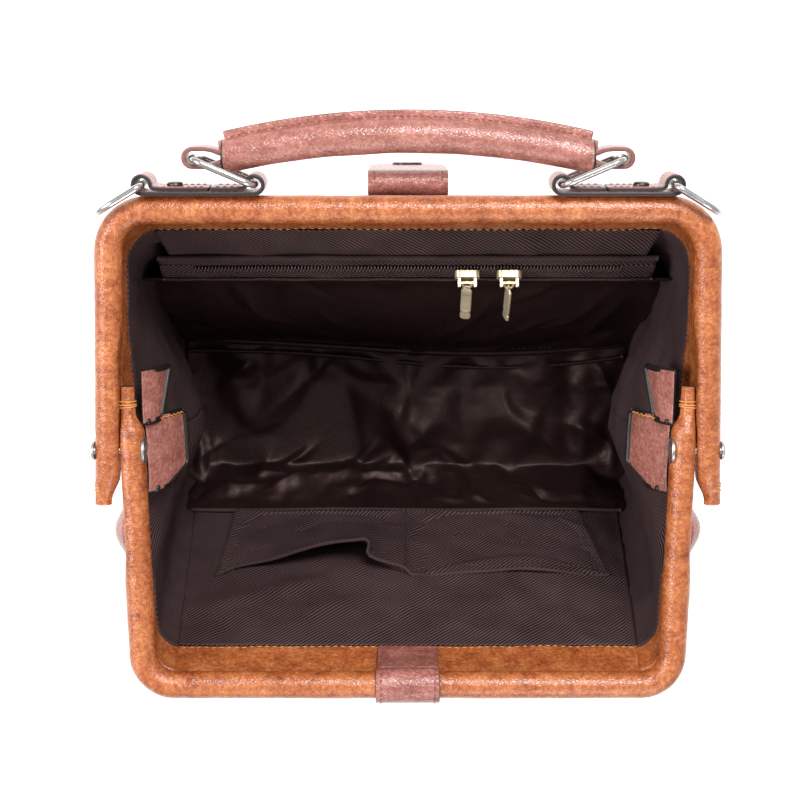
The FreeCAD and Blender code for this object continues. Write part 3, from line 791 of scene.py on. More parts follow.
# long soft creases: each has a middle, a direction, a length, a width and a height
def creaseField(seed, count, spanX, spanY, angles, span, wide, high):
    rand = random.Random(seed)
    lines = []
    for _ in range(count):
        x, y = rand.uniform(-spanX, spanX), rand.uniform(-spanY, spanY)
        angle = math.radians(rand.uniform(*angles)) * (1 if x > 0 else -1)
        lines.append((x, y, math.cos(angle), math.sin(angle), rand.uniform(*span), rand.uniform(*wide),
                      rand.uniform(*high) * rand.choice((1, 1, -0.7)), rand.uniform(-0.5, 0.5)))

    def height(x, y):
        total = 0.0
        for cx, cy, dx, dy, length, width, lift, bend in lines:
            along = (x - cx) * dx + (y - cy) * dy
            if abs(along) > length:
                continue
            across = -(x - cx) * dy + (y - cy) * dx + bend * along * along / length
            if abs(across) < 4 * width:
                ridge = math.exp(-abs(across / width) ** 1.6)
                total += lift * ridge * math.cos(along / length * math.pi / 2) ** 2
        return total
    return height


def softened(obj, times=1):
    for _ in range(times):
        obj.modifiers.new("soft", "SUBSURF").levels = 1
        bake(obj)


def edgePins(rows, cols, pocket=False):  # a pocket is open at its top and held along its middle
    def pinned(index):
        i, j = divmod(index, cols)
        ends = i == 0 or j == 0 or j == cols - 1
        return ends or (j == (cols - 1) / 2 if pocket else i == rows - 1)
    return pinned


def wallLining(name, side, low, high, inset, edge, rows, cols, node, seed, folds, wave):
    word = "back" if side > 0 else "front"
    made, point, size = wallStrip(side, low, high, inset, edge, rows, cols, name, liningTwill, wave, seed,
                                  0.0)
    softened(made)
    inward = intoBag(side)
    halfWide, halfTall = size[0] / 2, size[1] / 2
    for v in made.data.vertices:
        along = (v.co.z - panelLine.z) / math.cos(lean) - (low + high) / 2 * shell["topS"]
        rim = smooth((halfWide - abs(v.co.x)) / (9 * mm)) * smooth((halfTall - abs(along)) / (7 * mm))
        v.co += inward * (folds(v.co.x, along) * rim)
        out = (abs(v.co.y) - panelLine.y) * math.cos(lean) - (v.co.z - panelLine.z) * math.sin(lean)
        if out > -lining["clear"]:  # never through the leather
            v.co += inward * ((out + lining["clear"]) * 1.25)
    thick(made, lining["cloth"])
    declareSheet(made, size[1], "hung", [word + "Leather"], "lining_twill")
    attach(made, word + "_wall")
    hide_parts(node)


def gussetX(side, y, z):  # inner face of the gusset's lining
    h = min(max((z - baseTop) / (barZ - 8 * mm - baseTop), 0.0), 1.0)
    edge = mix(shell["baseHalfY"] - shell["baseCorner"], barY - shell["cornerBack"], h)
    t = 1 - min(abs(y) / edge, 1.0)
    return shellPoint(side, 1, mix(shell["arcShare"], 1.0, t), h, 4.0 * mm).x


seam = dict(y=17 * mm, z=baseTop + 2.5 * mm, sway=2.5 * mm, half=118 * mm)


def seamPoint(a, shift=0.0):  # where the back lining meets the bottom's, a from left to right
    x = (a * 2 - 1) * seam["half"]
    y = seam["y"] + shift + seam["sway"] * math.sin(a * 5.2 + 0.6) + 5 * mm * abs(a * 2 - 1) ** 2
    return Vector((x, y, seam["z"] + 1.5 * mm * wobble(x, 0, 0, 40, 2.0)))


# creases as seed, count, spans across and up, angles, lengths, widths and heights
creases = dict(
    upper=(5, 9, 100 * mm, 14 * mm, (-80, 80), (12 * mm, 26 * mm), (3 * mm, 6 * mm), (0.3 * mm, 0.9 * mm)),
    front=(4, 16, 100 * mm, 60 * mm, (20, 85), (18 * mm, 50 * mm), (4 * mm, 9 * mm), (0.6 * mm, 1.8 * mm)),
    lower=(8, 22, 100 * mm, 45 * mm, (48, 82), (26 * mm, 60 * mm), (2.6 * mm, 6 * mm), (1.0 * mm, 3.0 * mm)),
)
satinSize = (236 * mm, 125 * mm)


def backLinings():
    edge = shell["wallShare"] + 0.02
    above, top = (zipS + 8 * mm) / shell["topS"], lining["facingLow"] + 0.01
    wallLining("backLiningUpper", 1, above, top, backInset, edge, 14, 56, "back_lining_upper", 2.0,
               creaseField(*creases["upper"]), 0.8 * mm)
    wallLining("frontLining", -1, 0.20, top, lining["wallInset"] + 0.8 * mm, edge, 36, 72, "front_lining",
               6.0, creaseField(*creases["front"]), 1.0 * mm)
    slantedLining()
    for side, word in sides:
        made, point, size = wallStrip(side, lining["facingLow"], 1.0, 2.9 * mm, edge, 14, 160,
                                      word + "Facing", tan, 0.9 * mm, side * 8.0, 0.0)
        thick(made, 1.0 * mm, subdivide=1)
        place(made, word + "_wall", word + "_facing", "trim_leather")
        line = [point(a / 200, 0.10) + Vector((0, -side * 0.7 * mm, 0)) for a in range(2, 199)]
        thread = stitches(word + "FacingStitch", line, Vector((0, -side, 0.2)), amber, 3.4 * mm,
                          (2.2 * mm, 0.28 * mm))
        place(thread, word + "_wall", slot="trim_leather")


def slantedLining():  # satin from the zip down to the seam on the bottom
    rows, cols = 28, 66
    foot, top = seamPoint(0.5), zipPoint(0, -9.4 * mm, 0.4 * mm)

    def point(a, b):
        low = seamPoint(a)
        y, z = mix(low.y, top.y, b), mix(low.z, top.z, b)
        belly = math.sin(math.pi * b) * (1 - abs(a * 2 - 1) ** 6)
        y -= 5 * mm * belly - 7 * mm * math.exp(-((b - 0.84) / 0.14) ** 2) * (1 - b) / 0.16
        z += 1.5 * mm * belly
        wide = mix(abs(low.x), gussetX(1, y, z) + 1.0 * mm, smooth(b * 4))
        return Vector(((a * 2 - 1) * wide, y + 0.8 * mm * wobble(a, b, 0, 7, 1.0) * belly, z))

    made = sheetMesh("backLiningLower", point, rows, cols, liningSatin, satinSize)
    slack(made, edgePins(rows, cols), 0.025, 24, 0.3, 1.5, 5 * mm)
    softened(made, 2)
    folds = creaseField(*creases["lower"])
    length, slope = (top - foot).length, (top - foot).normalized()
    across = Vector((0, -slope.z, slope.y))
    for v in made.data.vertices:
        along = (v.co - foot).dot(slope)
        rim = smooth((112 * mm - abs(v.co.x)) / (12 * mm))
        rim *= smooth(along / (8 * mm)) * smooth((length - along) / (9 * mm))
        v.co += across * (folds(v.co.x, along - length / 2) * rim)
    thick(made, lining["cloth"])
    declareSheet(made, length, "hung", ["bottomLining"], "lining_satin")
    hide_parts("back_lining_lower")
    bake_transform(made)
    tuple(foot)
    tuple(top)


backLinings()
print("wall linings sewn")


bottom = dict(rise=38 * mm, lift=1.2 * mm, clear=2.4 * mm, least=1.5 * mm)


def bottomLining():  # one satin sheet, over the floor and a little way up the front wall
    rows, cols = 44, 66
    rise, clear, least = bottom["rise"], bottom["clear"], bottom["least"]
    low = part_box("base_lining")[1].z + bottom["lift"]
    frontY = panelLine.y - 5.0 * mm
    floorLength = seam["y"] + frontY
    total = floorLength + rise
    inward = intoBag(-1)

    def point(a, b):
        along = b * total
        bend = smooth((along - floorLength + 7 * mm) / (14 * mm))
        back = seamPoint(a)
        x = (a * 2 - 1) * mix(seam["half"], seam["half"] + 1.5 * mm, b)
        onFloor = Vector((x, mix(back.y, -frontY, min(along / floorLength, 1.0)), low + 3.0 * mm))
        onWall = wallPoint(-1, x, -4.6 * mm, max(along - floorLength, 0) + 2 * mm)
        p = onFloor.lerp(onWall, bend)
        if bend < 1:
            atSeam = (1 - bend) * (back.z - low - 3 * mm) * (1 - min(b * 6, 1))
            p.z += 3.5 * mm * math.sin(math.pi * bend) + atSeam
        return p

    made = sheetMesh("bottomLining", point, rows, cols, liningSatin, (satinSize[0], total))
    slack(made, edgePins(rows, cols), 0.04, 30, 0.0, 1.5, 6 * mm)
    softened(made, 2)
    folds = creaseField(3, 44, 112 * mm, total / 2, (28, 80), (20 * mm, 56 * mm), (2.4 * mm, 6.5 * mm),
                        (1.2 * mm, 4.0 * mm))
    ridge = creaseField(12, 6, 95 * mm, total * 0.4, (-14, 14), (50 * mm, 95 * mm), (5 * mm, 10 * mm),
                        (2.5 * mm, 4.5 * mm))
    for v in made.data.vertices:
        along = seam["y"] - v.co.y + max(v.co.z - low - 8 * mm, 0)
        rim = smooth((seam["half"] - abs(v.co.x)) / (9 * mm))
        rim *= smooth(along / (9 * mm)) * smooth((total - along) / (8 * mm))
        turn = smooth((-v.co.y - frontY + 10 * mm) / (14 * mm))
        lift = (folds(v.co.x, along - total / 2) + ridge(v.co.x, along - total / 2)) * rim
        v.co += Vector((0, 0, 1)).lerp(inward, turn) * lift
        tall = v.co.z - low
        # never through the floor
        v.co.z = low + (tall if tall > least else least * math.exp(tall / least - 1))
        out = (-v.co.y - panelLine.y) * math.cos(lean) - (v.co.z - panelLine.z) * math.sin(lean)
        if out > -clear:
            v.co += inward * (out + clear)
    thick(made, lining["cloth"])
    declareSheet(made, total, "laid", ["baseTray"], "lining_satin")
    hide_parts("base_lining")
    ends = [wallPoint(-1, 0, -4 * mm, s) for s in (-3 * mm, 9 * mm)]
    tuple(ends[0])
    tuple(ends[1])
    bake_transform(made)
    steps = [k / 140 for k in range(1, 140)]
    for name, shift, sway, lift, radius in (("bottomSeam1", 1.5 * mm, 0.0, 0.6 * mm, 1.7 * mm),
                                            ("bottomSeam2", -5.0 * mm, 1.5 * mm, 0.4 * mm, 1.2 * mm)):
        line = [seamPoint(a, shift + sway * math.sin(a * 140 / 23)) + Vector((0, 0, lift)) for a in steps]
        place(tube(name, line, Vector((0, 0, 1)), Round(radius), liningSatin), "base", slot="lining_satin")
    line = [seamPoint(a, 4.0 * mm) + Vector((0, 0, 2.6 * mm)) for a in steps[1:-1]]
    thread = stitches("bottomSeamStitch", line, Vector((0, -0.7, 0.7)), brownThread, 2.8 * mm)
    place(thread, "base", slot="lining_satin")
    hem = []
    for k in range(121):
        height = rise + 1.5 * mm + 0.6 * mm * math.sin(k / 9)
        hem.append(wallPoint(-1, mix(-112 * mm, 112 * mm, k / 120), -5.2 * mm, height))
    welt = tube("frontSeam", hem, Vector((0, 0, 1)), Round(1.0 * mm, 8), liningTwill)
    place(welt, "front_wall", slot="lining_twill")


bottomLining()
print("bottom lining laid")

pocket = dict(half=93 * mm, low=40 * mm, top=105 * mm, gap=2.0 * mm, taper=0.965, mouth=16 * mm,
              foldOver=11 * mm)


def slipPocket():
    rows, cols = 36, 101
    face = -(lining["wallInset"] + 1.6 * mm)

    def point(a, b):
        x = (a * 2 - 1) * pocket["half"] * mix(pocket["taper"], 1.0, b) + 5 * mm * a * b
        s = mix(pocket["low"], pocket["top"], b)
        local = (a * 2) % 1.0 if a < 1 else 1.0
        belly = math.sin(math.pi * local) ** 0.8
        if a < 0.5:  # this compartment gapes and its mouth folds over
            peak = local / 0.76 if local < 0.76 else smooth((1 - local) / 0.24)
            lift = pocket["mouth"] * peak ** 1.25 * b ** 1.5
            droop = 3.5 * mm * belly * b ** 2
            x -= pocket["foldOver"] * math.exp(-((local - 0.88) / 0.055) ** 2) * b ** 2.2
        else:
            lift = 2.6 * mm * belly * b ** 1.3
            droop = 1.0 * mm * belly * b ** 2
        crease = belly * (1.2 * mm * wobble(x, s, 0, 60, 5.0) + 0.9 * mm * b * math.sin(9 * local + 2.0))
        return wallPoint(-1, x, face - pocket["gap"] * min(1, 4 * b) * belly - lift - crease, s - droop)

    half, low, top = pocket["half"], pocket["low"], pocket["top"]
    made = sheetMesh("slipPocket", point, rows, cols, liningTwill, (2 * half, top - low))
    slack(made, edgePins(rows, cols, True), 0.025, 20, 0.3, 1.2, 4 * mm)
    hemLine = [made.data.vertices[(rows - 1) * cols + j].co.copy() for j in range(cols)]
    seamLine = [made.data.vertices[(rows - 4) * cols + j].co.copy() for j in range(1, cols - 1)]
    thick(made, 0.9 * mm, subdivide=1)
    hem = tube("pocketHem", hemLine, Vector((0, 0.25, 1)).normalized(), Round(0.9 * mm, 8), liningTwill)
    place(hem, "front_wall", slot="lining_twill")
    declareSheet(made, top - low, "stretched", ["frontLining"], "lining_twill", with_pieces=[hem])
    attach(made, "front_wall")
    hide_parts("slip_pocket")
    threadOut, ends = face - 1.4 * mm, 0.985
    lines = {"Hem": [p + intoBag(-1) * 0.6 * mm for p in seamLine]}
    for word, x in (("Left", -ends), ("Middle", 0.0), ("Right", ends)):
        lines[word] = [wallPoint(-1, x * half * mix(pocket["taper"], 1, t), threadOut, mix(low, top, t))
                       for t in [b / 30 for b in range(31)]]
    lines["Foot"] = [wallPoint(-1, mix(-0.95, 0.95, a / 90) * half, threadOut, low + 1.2 * mm)
                     for a in range(91)]
    for word, line in lines.items():
        thread = stitches("pocketStitch" + word, line, intoBag(-1), brownThread, 2.6 * mm, stitchSize["fine"])
        place(thread, "front_wall", slot="lining_twill")


slipPocket()
print("slip pocket sewn")

zipper = dict(half=97 * mm, edge=112 * mm, pitch=0.75 * mm, tooth=(3.4 * mm, 0.42 * mm),
              band=(1.9 * mm, 8.8 * mm))


def zipBand():
    edge = zipper["edge"]
    up = Vector((0, math.sin(lean + zipTilt), math.cos(lean + zipTilt)))
    facing = zipPoint(0, 0, 1) - zipPoint(0, 0, 0)
    near, far = zipper["band"]
    for word, low, high, node in (("Lower", -far, -near, "zip_tape"), ("Upper", near, far, None)):
        def point(a, b):
            x = (a * 2 - 1) * edge
            return zipPoint(x, mix(low, high, b), 0.3 * mm * wobble(x, b * 0.01, 0, 60, 1.0))

        tape = sheetMesh(f"zipTape{word}", point, 8, 120, liningTwill, (2 * edge, 7 * mm))
        thick(tape, 0.7 * mm)
        place(tape, "back_wall", node, "lining_twill")
        row = (low if word == "Lower" else high) * 0.8
        line = [zipPoint(mix(-edge, edge, a / 120) * 0.985, row, 0.5 * mm) for a in range(121)]
        thread = stitches(f"zipStitch{word}", line, facing, brownThread, 2.6 * mm, stitchSize["fine"])
        place(thread, "back_wall", slot="lining_twill")
    for word, along, out, radius, material in (("Upper", 10.2 * mm, 1.2 * mm, 1.3 * mm, liningTwill),
                                               ("Lower", -9.2 * mm, 0.8 * mm, 1.0 * mm, liningSatin)):
        line = [zipPoint(mix(-edge, edge, a / 150), along, out + 0.5 * mm * wobble(a, 0, 0, 0.11, 2.0))
                for a in range(151)]
        place(tube(f"zipWelt{word}", line, up, Round(radius), material), "back_wall", slot="lining_twill")
    for sx, hand in hands:  # a stop of cloth past the last tooth
        line = [zipPoint(sx * mix(zipper["half"] - 0.5 * mm, edge, k / 8), 0, 0.5 * mm) for k in range(9)]
        stop = ribbon(f"zipStop{hand}", line, up, 6.5 * mm, 0.9 * mm, liningTwill, 5, edge=liningTwill)
        place(stop, "back_wall", slot="lining_twill")
    zipTeeth()


def zipTeeth():
    verts, faces = [], []
    length, radius = zipper["tooth"]
    along = Vector((1, 0, 0))
    up = zipPoint(0, 1, 0) - zipPoint(0, 0, 0)
    outward = zipPoint(0, 0, 1) - zipPoint(0, 0, 0)
    around, ringCount = 6, 5
    for n in range(int(2 * zipper["half"] / zipper["pitch"])):
        hand = 1 if n % 2 else -1
        root = zipPoint(-zipper["half"] + (n + 0.5) * zipper["pitch"], hand * 1.0 * mm, 0.9 * mm)
        rings = []
        for r in range(ringCount):
            t = r / (ringCount - 1) - 0.5
            fat = radius * (1.15 if 0 < r < ringCount - 1 else 0.7)
            at = root + up * (t * length) + outward * (0.6 * mm * (1 - (2 * t) ** 2))
            at += along * (abs(t) * 0.5 * mm)
            turns = [2 * math.pi * a / around for a in range(around)]
            rings.append([at + (along * math.cos(turn) + outward * math.sin(turn)) * fat for turn in turns])
        addBead(verts, faces, rings)
    place(addObject("zipTeeth", verts, faces, coil), "back_wall", "zip_chain", "zip_coil")


class PullerSection:  # a crowned bar with a waist near its end, twisted about its length
    around = 20

    def __init__(self, twist):
        self.twist = twist

    def __call__(self, at, total, angle):
        t = at / total
        half = mix(1.2 * mm, 2.5 * mm, smooth((t - 0.02) / 0.1))
        half *= mix(1.0, 0.80, math.exp(-((t - 0.80) / 0.03) ** 2))
        half *= math.sqrt(max(1 - max(0.0, (t - 0.94) / 0.06) ** 2, 0.05))
        deep = 0.85 * mm * (half / (2.5 * mm)) ** 0.5
        c, n = math.cos(angle), math.sin(angle)
        a, b = half * math.copysign(abs(c) ** 0.6, c), deep * math.copysign(abs(n) ** 0.8, n)
        groove = 0.45 * mm * smooth((t - 0.2) / 0.05) * smooth((0.74 - t) / 0.05)
        b -= math.copysign(groove * math.exp(-(a / (1.3 * mm)) ** 4), n)
        turnC, turnS = math.cos(self.twist), math.sin(self.twist)
        return a * turnC - b * turnS, a * turnS + b * turnC


def pullers():
    for number, twist in ((1, 0.15), (2, 1.15)):
        eye = Vector(joints[f"puller_swing_{number}"]["pos_m"])
        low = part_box(f"zip_puller_{number}")[0]
        reach = Vector((eye.x, low.y, low.z)) - eye
        down = reach.normalized()
        face = Vector((1, 0, 0)).cross(down)
        line = [eye + down * mix(3.4 * mm, reach.length - 1.0 * mm, k / 60) for k in range(61)]
        bar = tube(f"zipPull{number}", line, face, PullerSection(twist), brass)
        loop = [eye + down * (1.9 * mm + 2.4 * mm * math.sin(a)) + Vector((2.0 * mm * math.cos(a), 0, 0))
                for a in np.linspace(0, 2 * math.pi, 40, endpoint=False)]
        ring = tube(f"zipPullEye{number}", loop, face, Round(0.55 * mm), brass, closed=True)
        place(bar, f"puller_{number}", f"zip_puller_{number}", "zip_brass")
        place(ring, f"puller_{number}", slot="zip_brass")


pullers()
zipBand()
print("zip made")

strapSizes = dict(tabThick=1.8 * mm, tabWide=16 * mm, eye=2.8 * mm, loopWide=14 * mm, closureWide=34 * mm,
                  closureThick=2.2 * mm, sleeveWide=28 * mm, sleeveThick=1.7 * mm)


def turned(centre, radius, first, last, count):  # points of an arc, its angles in degrees
    angles = [math.radians(mix(first, last, k / (count - 1))) for k in range(count)]
    return [(centre + radius * math.cos(a), radius * math.sin(a)) for a in angles]


def hardwareTabs():
    s = strapSizes
    inner, outer = ringEye.x, deeEye.x
    radius = s["eye"] + s["tabThick"] / 2
    low, top = -radius, -radius + s["tabThick"] * 1.06
    meet = mix(inner, outer, 0.40)  # where the strap's two ends meet on top
    cut = [(meet - 0.4 * mm, top), (inner + radius * 1.5, top)] + turned(inner, radius, -12, 270, 13)
    cut += [(inner + radius * 1.5, low), (outer - radius * 1.5, low)] + turned(outer, radius, -90, 192, 13)
    cut += [(outer - radius * 1.5, top), (meet + 0.4 * mm, top)]
    rows = ((inner + 5 * mm, meet - 2 * mm), (meet + 2 * mm, outer - 5 * mm))
    for sx, hand in hands:
        line = rounded([framePoint(1, sx * x, loopU + u) for x, u in cut], 2)
        tab = ribbon(f"hardwareTab{hand}", line, backNormal, s["tabWide"], s["tabThick"], mauve, 9)
        place(tab, "back_frame", "hardware_tab_" + hand.lower())
        for v, word in ((-1, "Low"), (1, "High")):
            for part, (xa, xb) in enumerate(rows):
                row = [framePoint(1, sx * mix(xa, xb, k / 12), loopU + top + s["tabThick"] / 2,
                                  v * (s["tabWide"] / 2 - 2 * mm)) for k in range(13)]
                name = f"tabStitch{hand}{word}{part + 1}"
                place(stitches(name, row, frameUp, rust, 2.6 * mm, stitchSize["fine"]), "back_frame")


hardwareTabs()

grip = dict(radius=7 * mm, half=77 * mm, rise=9 * mm, flange=3.4 * mm, flangeThick=2.5 * mm,
            hidden=2.4 * mm, around=32)


def gripU(x):  # the grip's bend, an arc
    big = (grip["half"] ** 2 + grip["rise"] ** 2) / (2 * grip["rise"])
    return math.sqrt(big ** 2 - x ** 2) - (big - grip["rise"])


class GripSection:  # a roll, pressed in a little along one side towards its middle; the sewn flange on its outer side is a piece of its own
    around = grip["around"]

    def __call__(self, at, total, angle):
        t = at / total
        radius = grip["radius"] * (1 + 0.02 * wobble(at, 0, 0, 60, 4.0))
        a, b = radius * math.cos(angle), radius * 0.97 * math.sin(angle)
        a -= 0.5 * mm * math.sin(math.pi * t) * max(-math.cos(angle), 0) * (1 + wobble(at, 0, 0, 45, 6.0))
        return a, b


def handle():
    s, half = strapSizes, grip["half"]
    endU = (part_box("handle_filler")[0].y + 5.4 * mm) / frameUp.y

    def onGrip(x, up=0.0, v=0.0):
        return framePoint(1, x, endU + gripU(x) + up, v)

    roll = tube("handleGrip", [onGrip(x) for x in np.linspace(-half, half, 110)], backNormal, GripSection(),
                [litMauve, black])
    for face in roll.data.polygons:
        if len(face.vertices) > 4:
            face.material_index = 1
    place(roll, "handle", "handle_leather")
    deep = grip["flange"] + grip["hidden"]
    fin = [onGrip(x, grip["radius"] + (grip["flange"] - grip["hidden"]) / 2)
           for x in np.linspace(-half + 1 * mm, half - 1 * mm, 110)]
    verts = []
    for i, p in enumerate(fin):
        a, b = fin[max(i - 1, 0)], fin[min(i + 1, len(fin) - 1)]
        up = backNormal.cross((b - a).normalized())
        verts += [p + up * (t * deep) for t in (-0.5, -0.25, 0, 0.25, 0.5)]
    flange = addObject("gripFlange", verts, gridFaces(len(fin), 5), [litMauve, black])
    thick(flange, grip["flangeThick"], rim=1, bevel=0.5 * mm)
    place(flange, "handle")
    for v, word in ((-1, "Low"), (1, "High")):
        row = [onGrip(x, grip["radius"] + 0.7 * mm, v * 1.22 * mm)
               for x in np.linspace(-half + 3 * mm, half - 3 * mm, 120)]
        thread = stitches("gripStitch" + word, row, backNormal * v, rust, 2.8 * mm, (1.9 * mm, 0.3 * mm))
        place(thread, "handle")
    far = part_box("handle_strap")[1].x - s["eye"] - 1.8 * mm
    near = far - 7.2 * mm
    radius = s["eye"] + 0.9 * mm
    cut = [(half - 4 * mm, -1.2 * mm), (half, -1.4 * mm), (near, -radius)]
    cut += turned(far, radius, -80, 80, 11) + [(x, -u) for x, u in reversed(cut)]

    def loopWidth(t):  # narrower where it enters the roll
        return s["loopWide"] * mix(0.80, 1.0, smooth(min(t, 1 - t) / 0.22))

    for sx, hand in hands:
        path = rounded([framePoint(1, sx * x, endU + u) for x, u in cut], 2)
        loop = ribbon(f"handleLoop{hand}", path, backNormal, loopWidth, s["tabThick"], mauve, edge=mauveEdge)
        place(loop, "handle", "handle_strap" if sx > 0 else None)
        end = sx * (half - 0.2 * mm)  # a painted ring closes the roll
        rim = [onGrip(end, 6.75 * mm * math.cos(a), 6.5 * mm * math.sin(a))
               for a in np.linspace(0, 2 * math.pi, 48, endpoint=False)]
        ring = tube(f"gripEnd{hand}", rim, Vector((1, 0, 0)), Round(0.5 * mm, 8), black, closed=True)
        place(ring, "handle")


handle()


def frontTab():
    s, sideways = strapSizes, Vector((1, 0, 0))
    barCentre = Vector((0, -barY, barZ))
    ringLine = [barCentre + Vector((0, math.cos(a), math.sin(a))) * (rolls["radius"] + 1.05 * mm)
                for a in np.linspace(-2.2, 2 * math.pi - 2.2 - 0.02, 60)]
    wrap = ribbon("frontTabWrap", ringLine, sideways, s["sleeveWide"], s["sleeveThick"], mauve, 9)
    place(wrap, "front_frame", "front_tab_sleeve")
    top = panelHeight
    tailEnd = top - 62 * mm
    outside = [(2.3 * mm, tailEnd), (2.6 * mm, tailEnd + 10 * mm), (3.2 * mm, mix(tailEnd, top, 0.6)),
               (4.0 * mm, top - 14 * mm), (6.2 * mm, top - 7 * mm), (6.9 * mm, top - 2 * mm)]
    inside = [(-4.4 * mm, top - 23 * mm), (-4.6 * mm, top - 15 * mm), (-6.0 * mm, top - 8 * mm),
              (-7.0 * mm, top - 2 * mm)]

    def endWidth(t):  # the tail's end is rounded
        return roundEnd(s["sleeveWide"], 1 - t / 0.14, 0.02)

    for name, cut, width, node in (("frontTabTail", outside, endWidth, "front_tab_tail"),
                                   ("frontTabInner", inside, s["sleeveWide"] * 0.96, None)):
        line = rounded([wallPoint(-1, 0, out, height) for out, height in cut], 2)
        place(ribbon(name, line, sideways, width, s["sleeveThick"], mauve, 15, 0.9 * mm), "front_wall", node)
    for sx, hand in hands:
        x = sx * (s["sleeveWide"] / 2 - 2.2 * mm)
        row = [wallPoint(-1, x, 3.5 * mm, mix(tailEnd + 9 * mm, top - 14 * mm, k / 20)) for k in range(21)]
        place(stitches("frontTabStitch" + hand, row, Vector((0, -1, 0)), rust), "front_wall")
        ups = [Vector((0, math.cos(a), math.sin(a))) for a in np.linspace(0.1, 3.6, 24)]
        arc = [barCentre + Vector((x, 0, 0)) + up * 7.95 * mm for up in ups]
        place(stitches("frontWrapStitch" + hand, arc, ups, rust, 2.8 * mm), "front_frame")


frontTab()


def closureStrap():
    s, sideways = strapSizes, Vector((1, 0, 0))
    wide, depth = s["closureWide"], s["closureThick"]
    low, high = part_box("closure_strap")
    turnAt = Vector(joints["strap_lift"]["pos_m"])
    bend = high.y - turnAt.y - depth / 2
    cut = [(math.cos(a) * bend, math.sin(a) * bend) for a in np.linspace(math.radians(200), 0, 16)]
    cut += [(bend, -10 * mm), (bend + 0.2 * mm, -40 * mm), (bend, -70 * mm), (bend, low.z - turnAt.z)]
    line = rounded([turnAt + Vector((0, y, z)) for y, z in cut], 2)

    def endWidth(t):  # the free end is rounded
        return roundEnd(wide, (t - 0.88) / 0.12, 0.03)

    strap = ribbon("closureStrap", line, sideways, endWidth, depth, mauve, 17, 0.9 * mm)
    place(strap, "closure_strap", "closure_strap")
    for sx, hand in hands:
        row = [p + sideways * (sx * (wide / 2 - 2.6 * mm)) for p in line[12:-22]]
        ups = []
        for k in range(len(row)):
            a, b = row[max(k - 1, 0)], row[min(k + 1, len(row) - 1)]
            up = -sideways.cross((b - a).normalized())
            ups.append(up if up.y > 0 or up.z > 0 else -up)
        row = [p + u * (depth / 2) for p, u in zip(row, ups)]
        place(stitches("closureStitch" + hand, row, ups, rust), "closure_strap")
    root = [(1.4 * mm, -30 * mm), (1.9 * mm, -20 * mm), (3.2 * mm, -12 * mm), (8.4 * mm, -3.6 * mm)]
    rootTop = panelHeight - 12 * mm
    path = rounded([wallPoint(1, 0, out + 0.6 * mm, rootTop + height) for out, height in root], 2)
    place(ribbon("strapRoot", path, sideways, wide, 2.0 * mm, mauve, 9), "back_wall", "strap_anchor")


closureStrap()


# stiff leather flaps inside each gusset at the rivet: side, span in y, shares of the height, slant and slot
flaps = dict(Back=(1, (11 * mm, 35 * mm), (0.86, 0.985), 15 * mm, "body_leather"),
             Front=(-1, (-21 * mm, 13 * mm), (0.82, 0.965), 20 * mm, "trim_leather"))


def hingeFlap(sx, hand, word, side, span, share, slant, slot):
    low, high = share

    def point(a, b):
        y = mix(*span, a)
        cutOff = 0.07 * (1 - smooth(a / 0.28)) if side < 0 else 0.05 * (1 - a)
        h = mix(low + cutOff, high, b)
        half = 1 if y >= 0 else -1
        reach = mix(*[ringPlan(half, shell["arcShare"], 0, top)[1] for top in (False, True)], h)
        p = shellPoint(half, sx, mix(1.0, shell["arcShare"], min(abs(y) / reach, 1)), h, 5.2 * mm)
        straight = mix(frontLeg - slant, frontLeg - 5 * mm, (h - low) / (high - low))
        p.x = sx * (mix(abs(p.x), straight, 0.85) - 1.6 * mm * math.sin(math.pi * b))
        return p

    # the flap takes the lighter mauve, painted light that makes it look brightly lit
    made = sheetMesh(f"hingeFlap{word}{hand}", point, 18, 26, [litMauve, black], (0.04, 0.03))
    thick(made, 1.5 * mm, rim=1, bevel=0.4 * mm)
    outline = [point(0.02, 1 - k / 20) for k in range(19)]
    outline += [point(0.05 + 0.9 * k / 26, 0.03) for k in range(27)]
    outline += [point(0.98, 0.1 + 0.9 * k / 20) for k in range(21)]
    outline = [q + Vector((-sx * 0.6 * mm, 0, 0)) for q in rounded(outline, 3)]
    edge = tube(f"hingeFlapEdge{word}{hand}", outline, Vector((sx * 0.6, 0, 0.8)), Round(1.5 * mm, 12), black)
    pieces = [(edge, "body_leather"), (made, slot)]
    if side < 0:
        lift = Vector((-sx * 1.2 * mm, 0, 0.5 * mm))
        row = [point(0.955 + 0.02 * (k % 2), 0.1 + k / 12 * 0.7) + lift for k in range(13)]
        thread = stitches(f"hingeThread{hand}", row, Vector((-sx * 0.7, 0, 0.7)), amber, 1.5 * mm,
                          (1.7 * mm, 0.3 * mm))
        pieces.insert(1, (thread, "trim_leather"))
    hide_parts(f"hinge_facing_{word.lower()}_{hand.lower()}")
    for piece, pieceSlot in pieces:
        flapMove(piece, side)


for sx, hand in hands:
    for word, sizes in flaps.items():
        hingeFlap(sx, hand, word, *sizes)
print("straps, tabs and handle made")

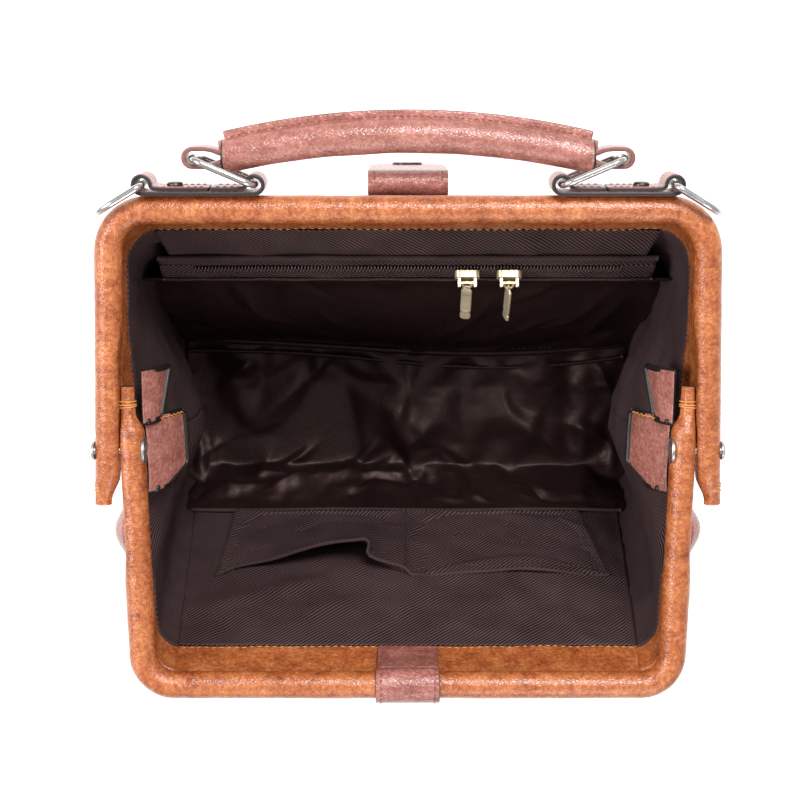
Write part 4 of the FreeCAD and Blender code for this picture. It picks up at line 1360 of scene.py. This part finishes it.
# finishes of the pieces that keep their own shape
finishes = {
    nickel: ("oval_ring", "dee_ring"),
    steel: ("hinge_pin", "hinge_cap", "back_frame_steel", "front_frame_steel"),
    bronze: ("tab_rivet", "strap_snap", "front_snap"), brass: ("zip_slider", "zip_puller"),
    board: ("base_board",), filler: ("handle_filler",), liningSatin: ("zip_pocket_bag",),
}
for name, obj in frame["nodes"].items():
    for material, starts in finishes.items():
        if name.startswith(starts):
            obj.data.materials.clear()
            obj.data.materials.append(material)
print("finishes given")

view = dict(target=(-3.4 * mm, 22.3 * mm, 190 * mm), distance=0.70, tilt=math.radians(9.86), lens=73.4)
floorTones = ((0.93, 0.93, 0.93, 1), (0.96, 0.96, 0.96, 1))
worldLight = 0.58
# each lamp's place, size and power
lamps = dict(key=((0.30, 1.0, 1.5), 0.6, 31), fill=((-1.1, 0.1, 1.1), 0.6, 16),
             front=((0.3, -1.2, 1.1), 0.7, 9))
lampsAim = Vector((0, 0, 0.12))


def stage():
    scene = bpy.context.scene
    bpy.ops.mesh.primitive_plane_add(size=6, location=(0, 0, 0))
    floor = bpy.context.object
    floor.name = "floor"
    pale, at, flat, feed = newMaterial("paleFloor", Roughness=0.8)
    feed("Base Color", ramped(grain(at, 2, 2, 0.5), (0.0, floorTones[0]), (1.0, floorTones[1])))
    floor.data.materials.append(pale)
    scene.world = bpy.data.worlds.new("studio")
    scene.world.use_nodes = True
    background = scene.world.node_tree.nodes["Background"]
    background.inputs["Color"].default_value = (1, 1, 1, 1)
    background.inputs["Strength"].default_value = worldLight
    for name, (spot, size, power) in lamps.items():
        data = bpy.data.lights.new(name, "AREA")
        data.size, data.energy = size, power
        lamp = bpy.data.objects.new(name, data)
        lamp.location = spot
        lamp.rotation_euler = (lampsAim - Vector(spot)).to_track_quat("-Z", "Y").to_euler()
        scene.collection.objects.link(lamp)
    data = bpy.data.cameras.new("camera")
    data.lens, data.sensor_width = view["lens"], 36
    camera = bpy.data.objects.new("camera", data)
    away = Vector((0, math.sin(view["tilt"]), math.cos(view["tilt"])))
    camera.location = Vector(view["target"]) + away * view["distance"]
    camera.rotation_euler = (-view["tilt"], 0, 0)
    scene.collection.objects.link(camera)
    scene.camera = camera
    scene.view_settings.view_transform = "Standard"


stage()
print("stage set")
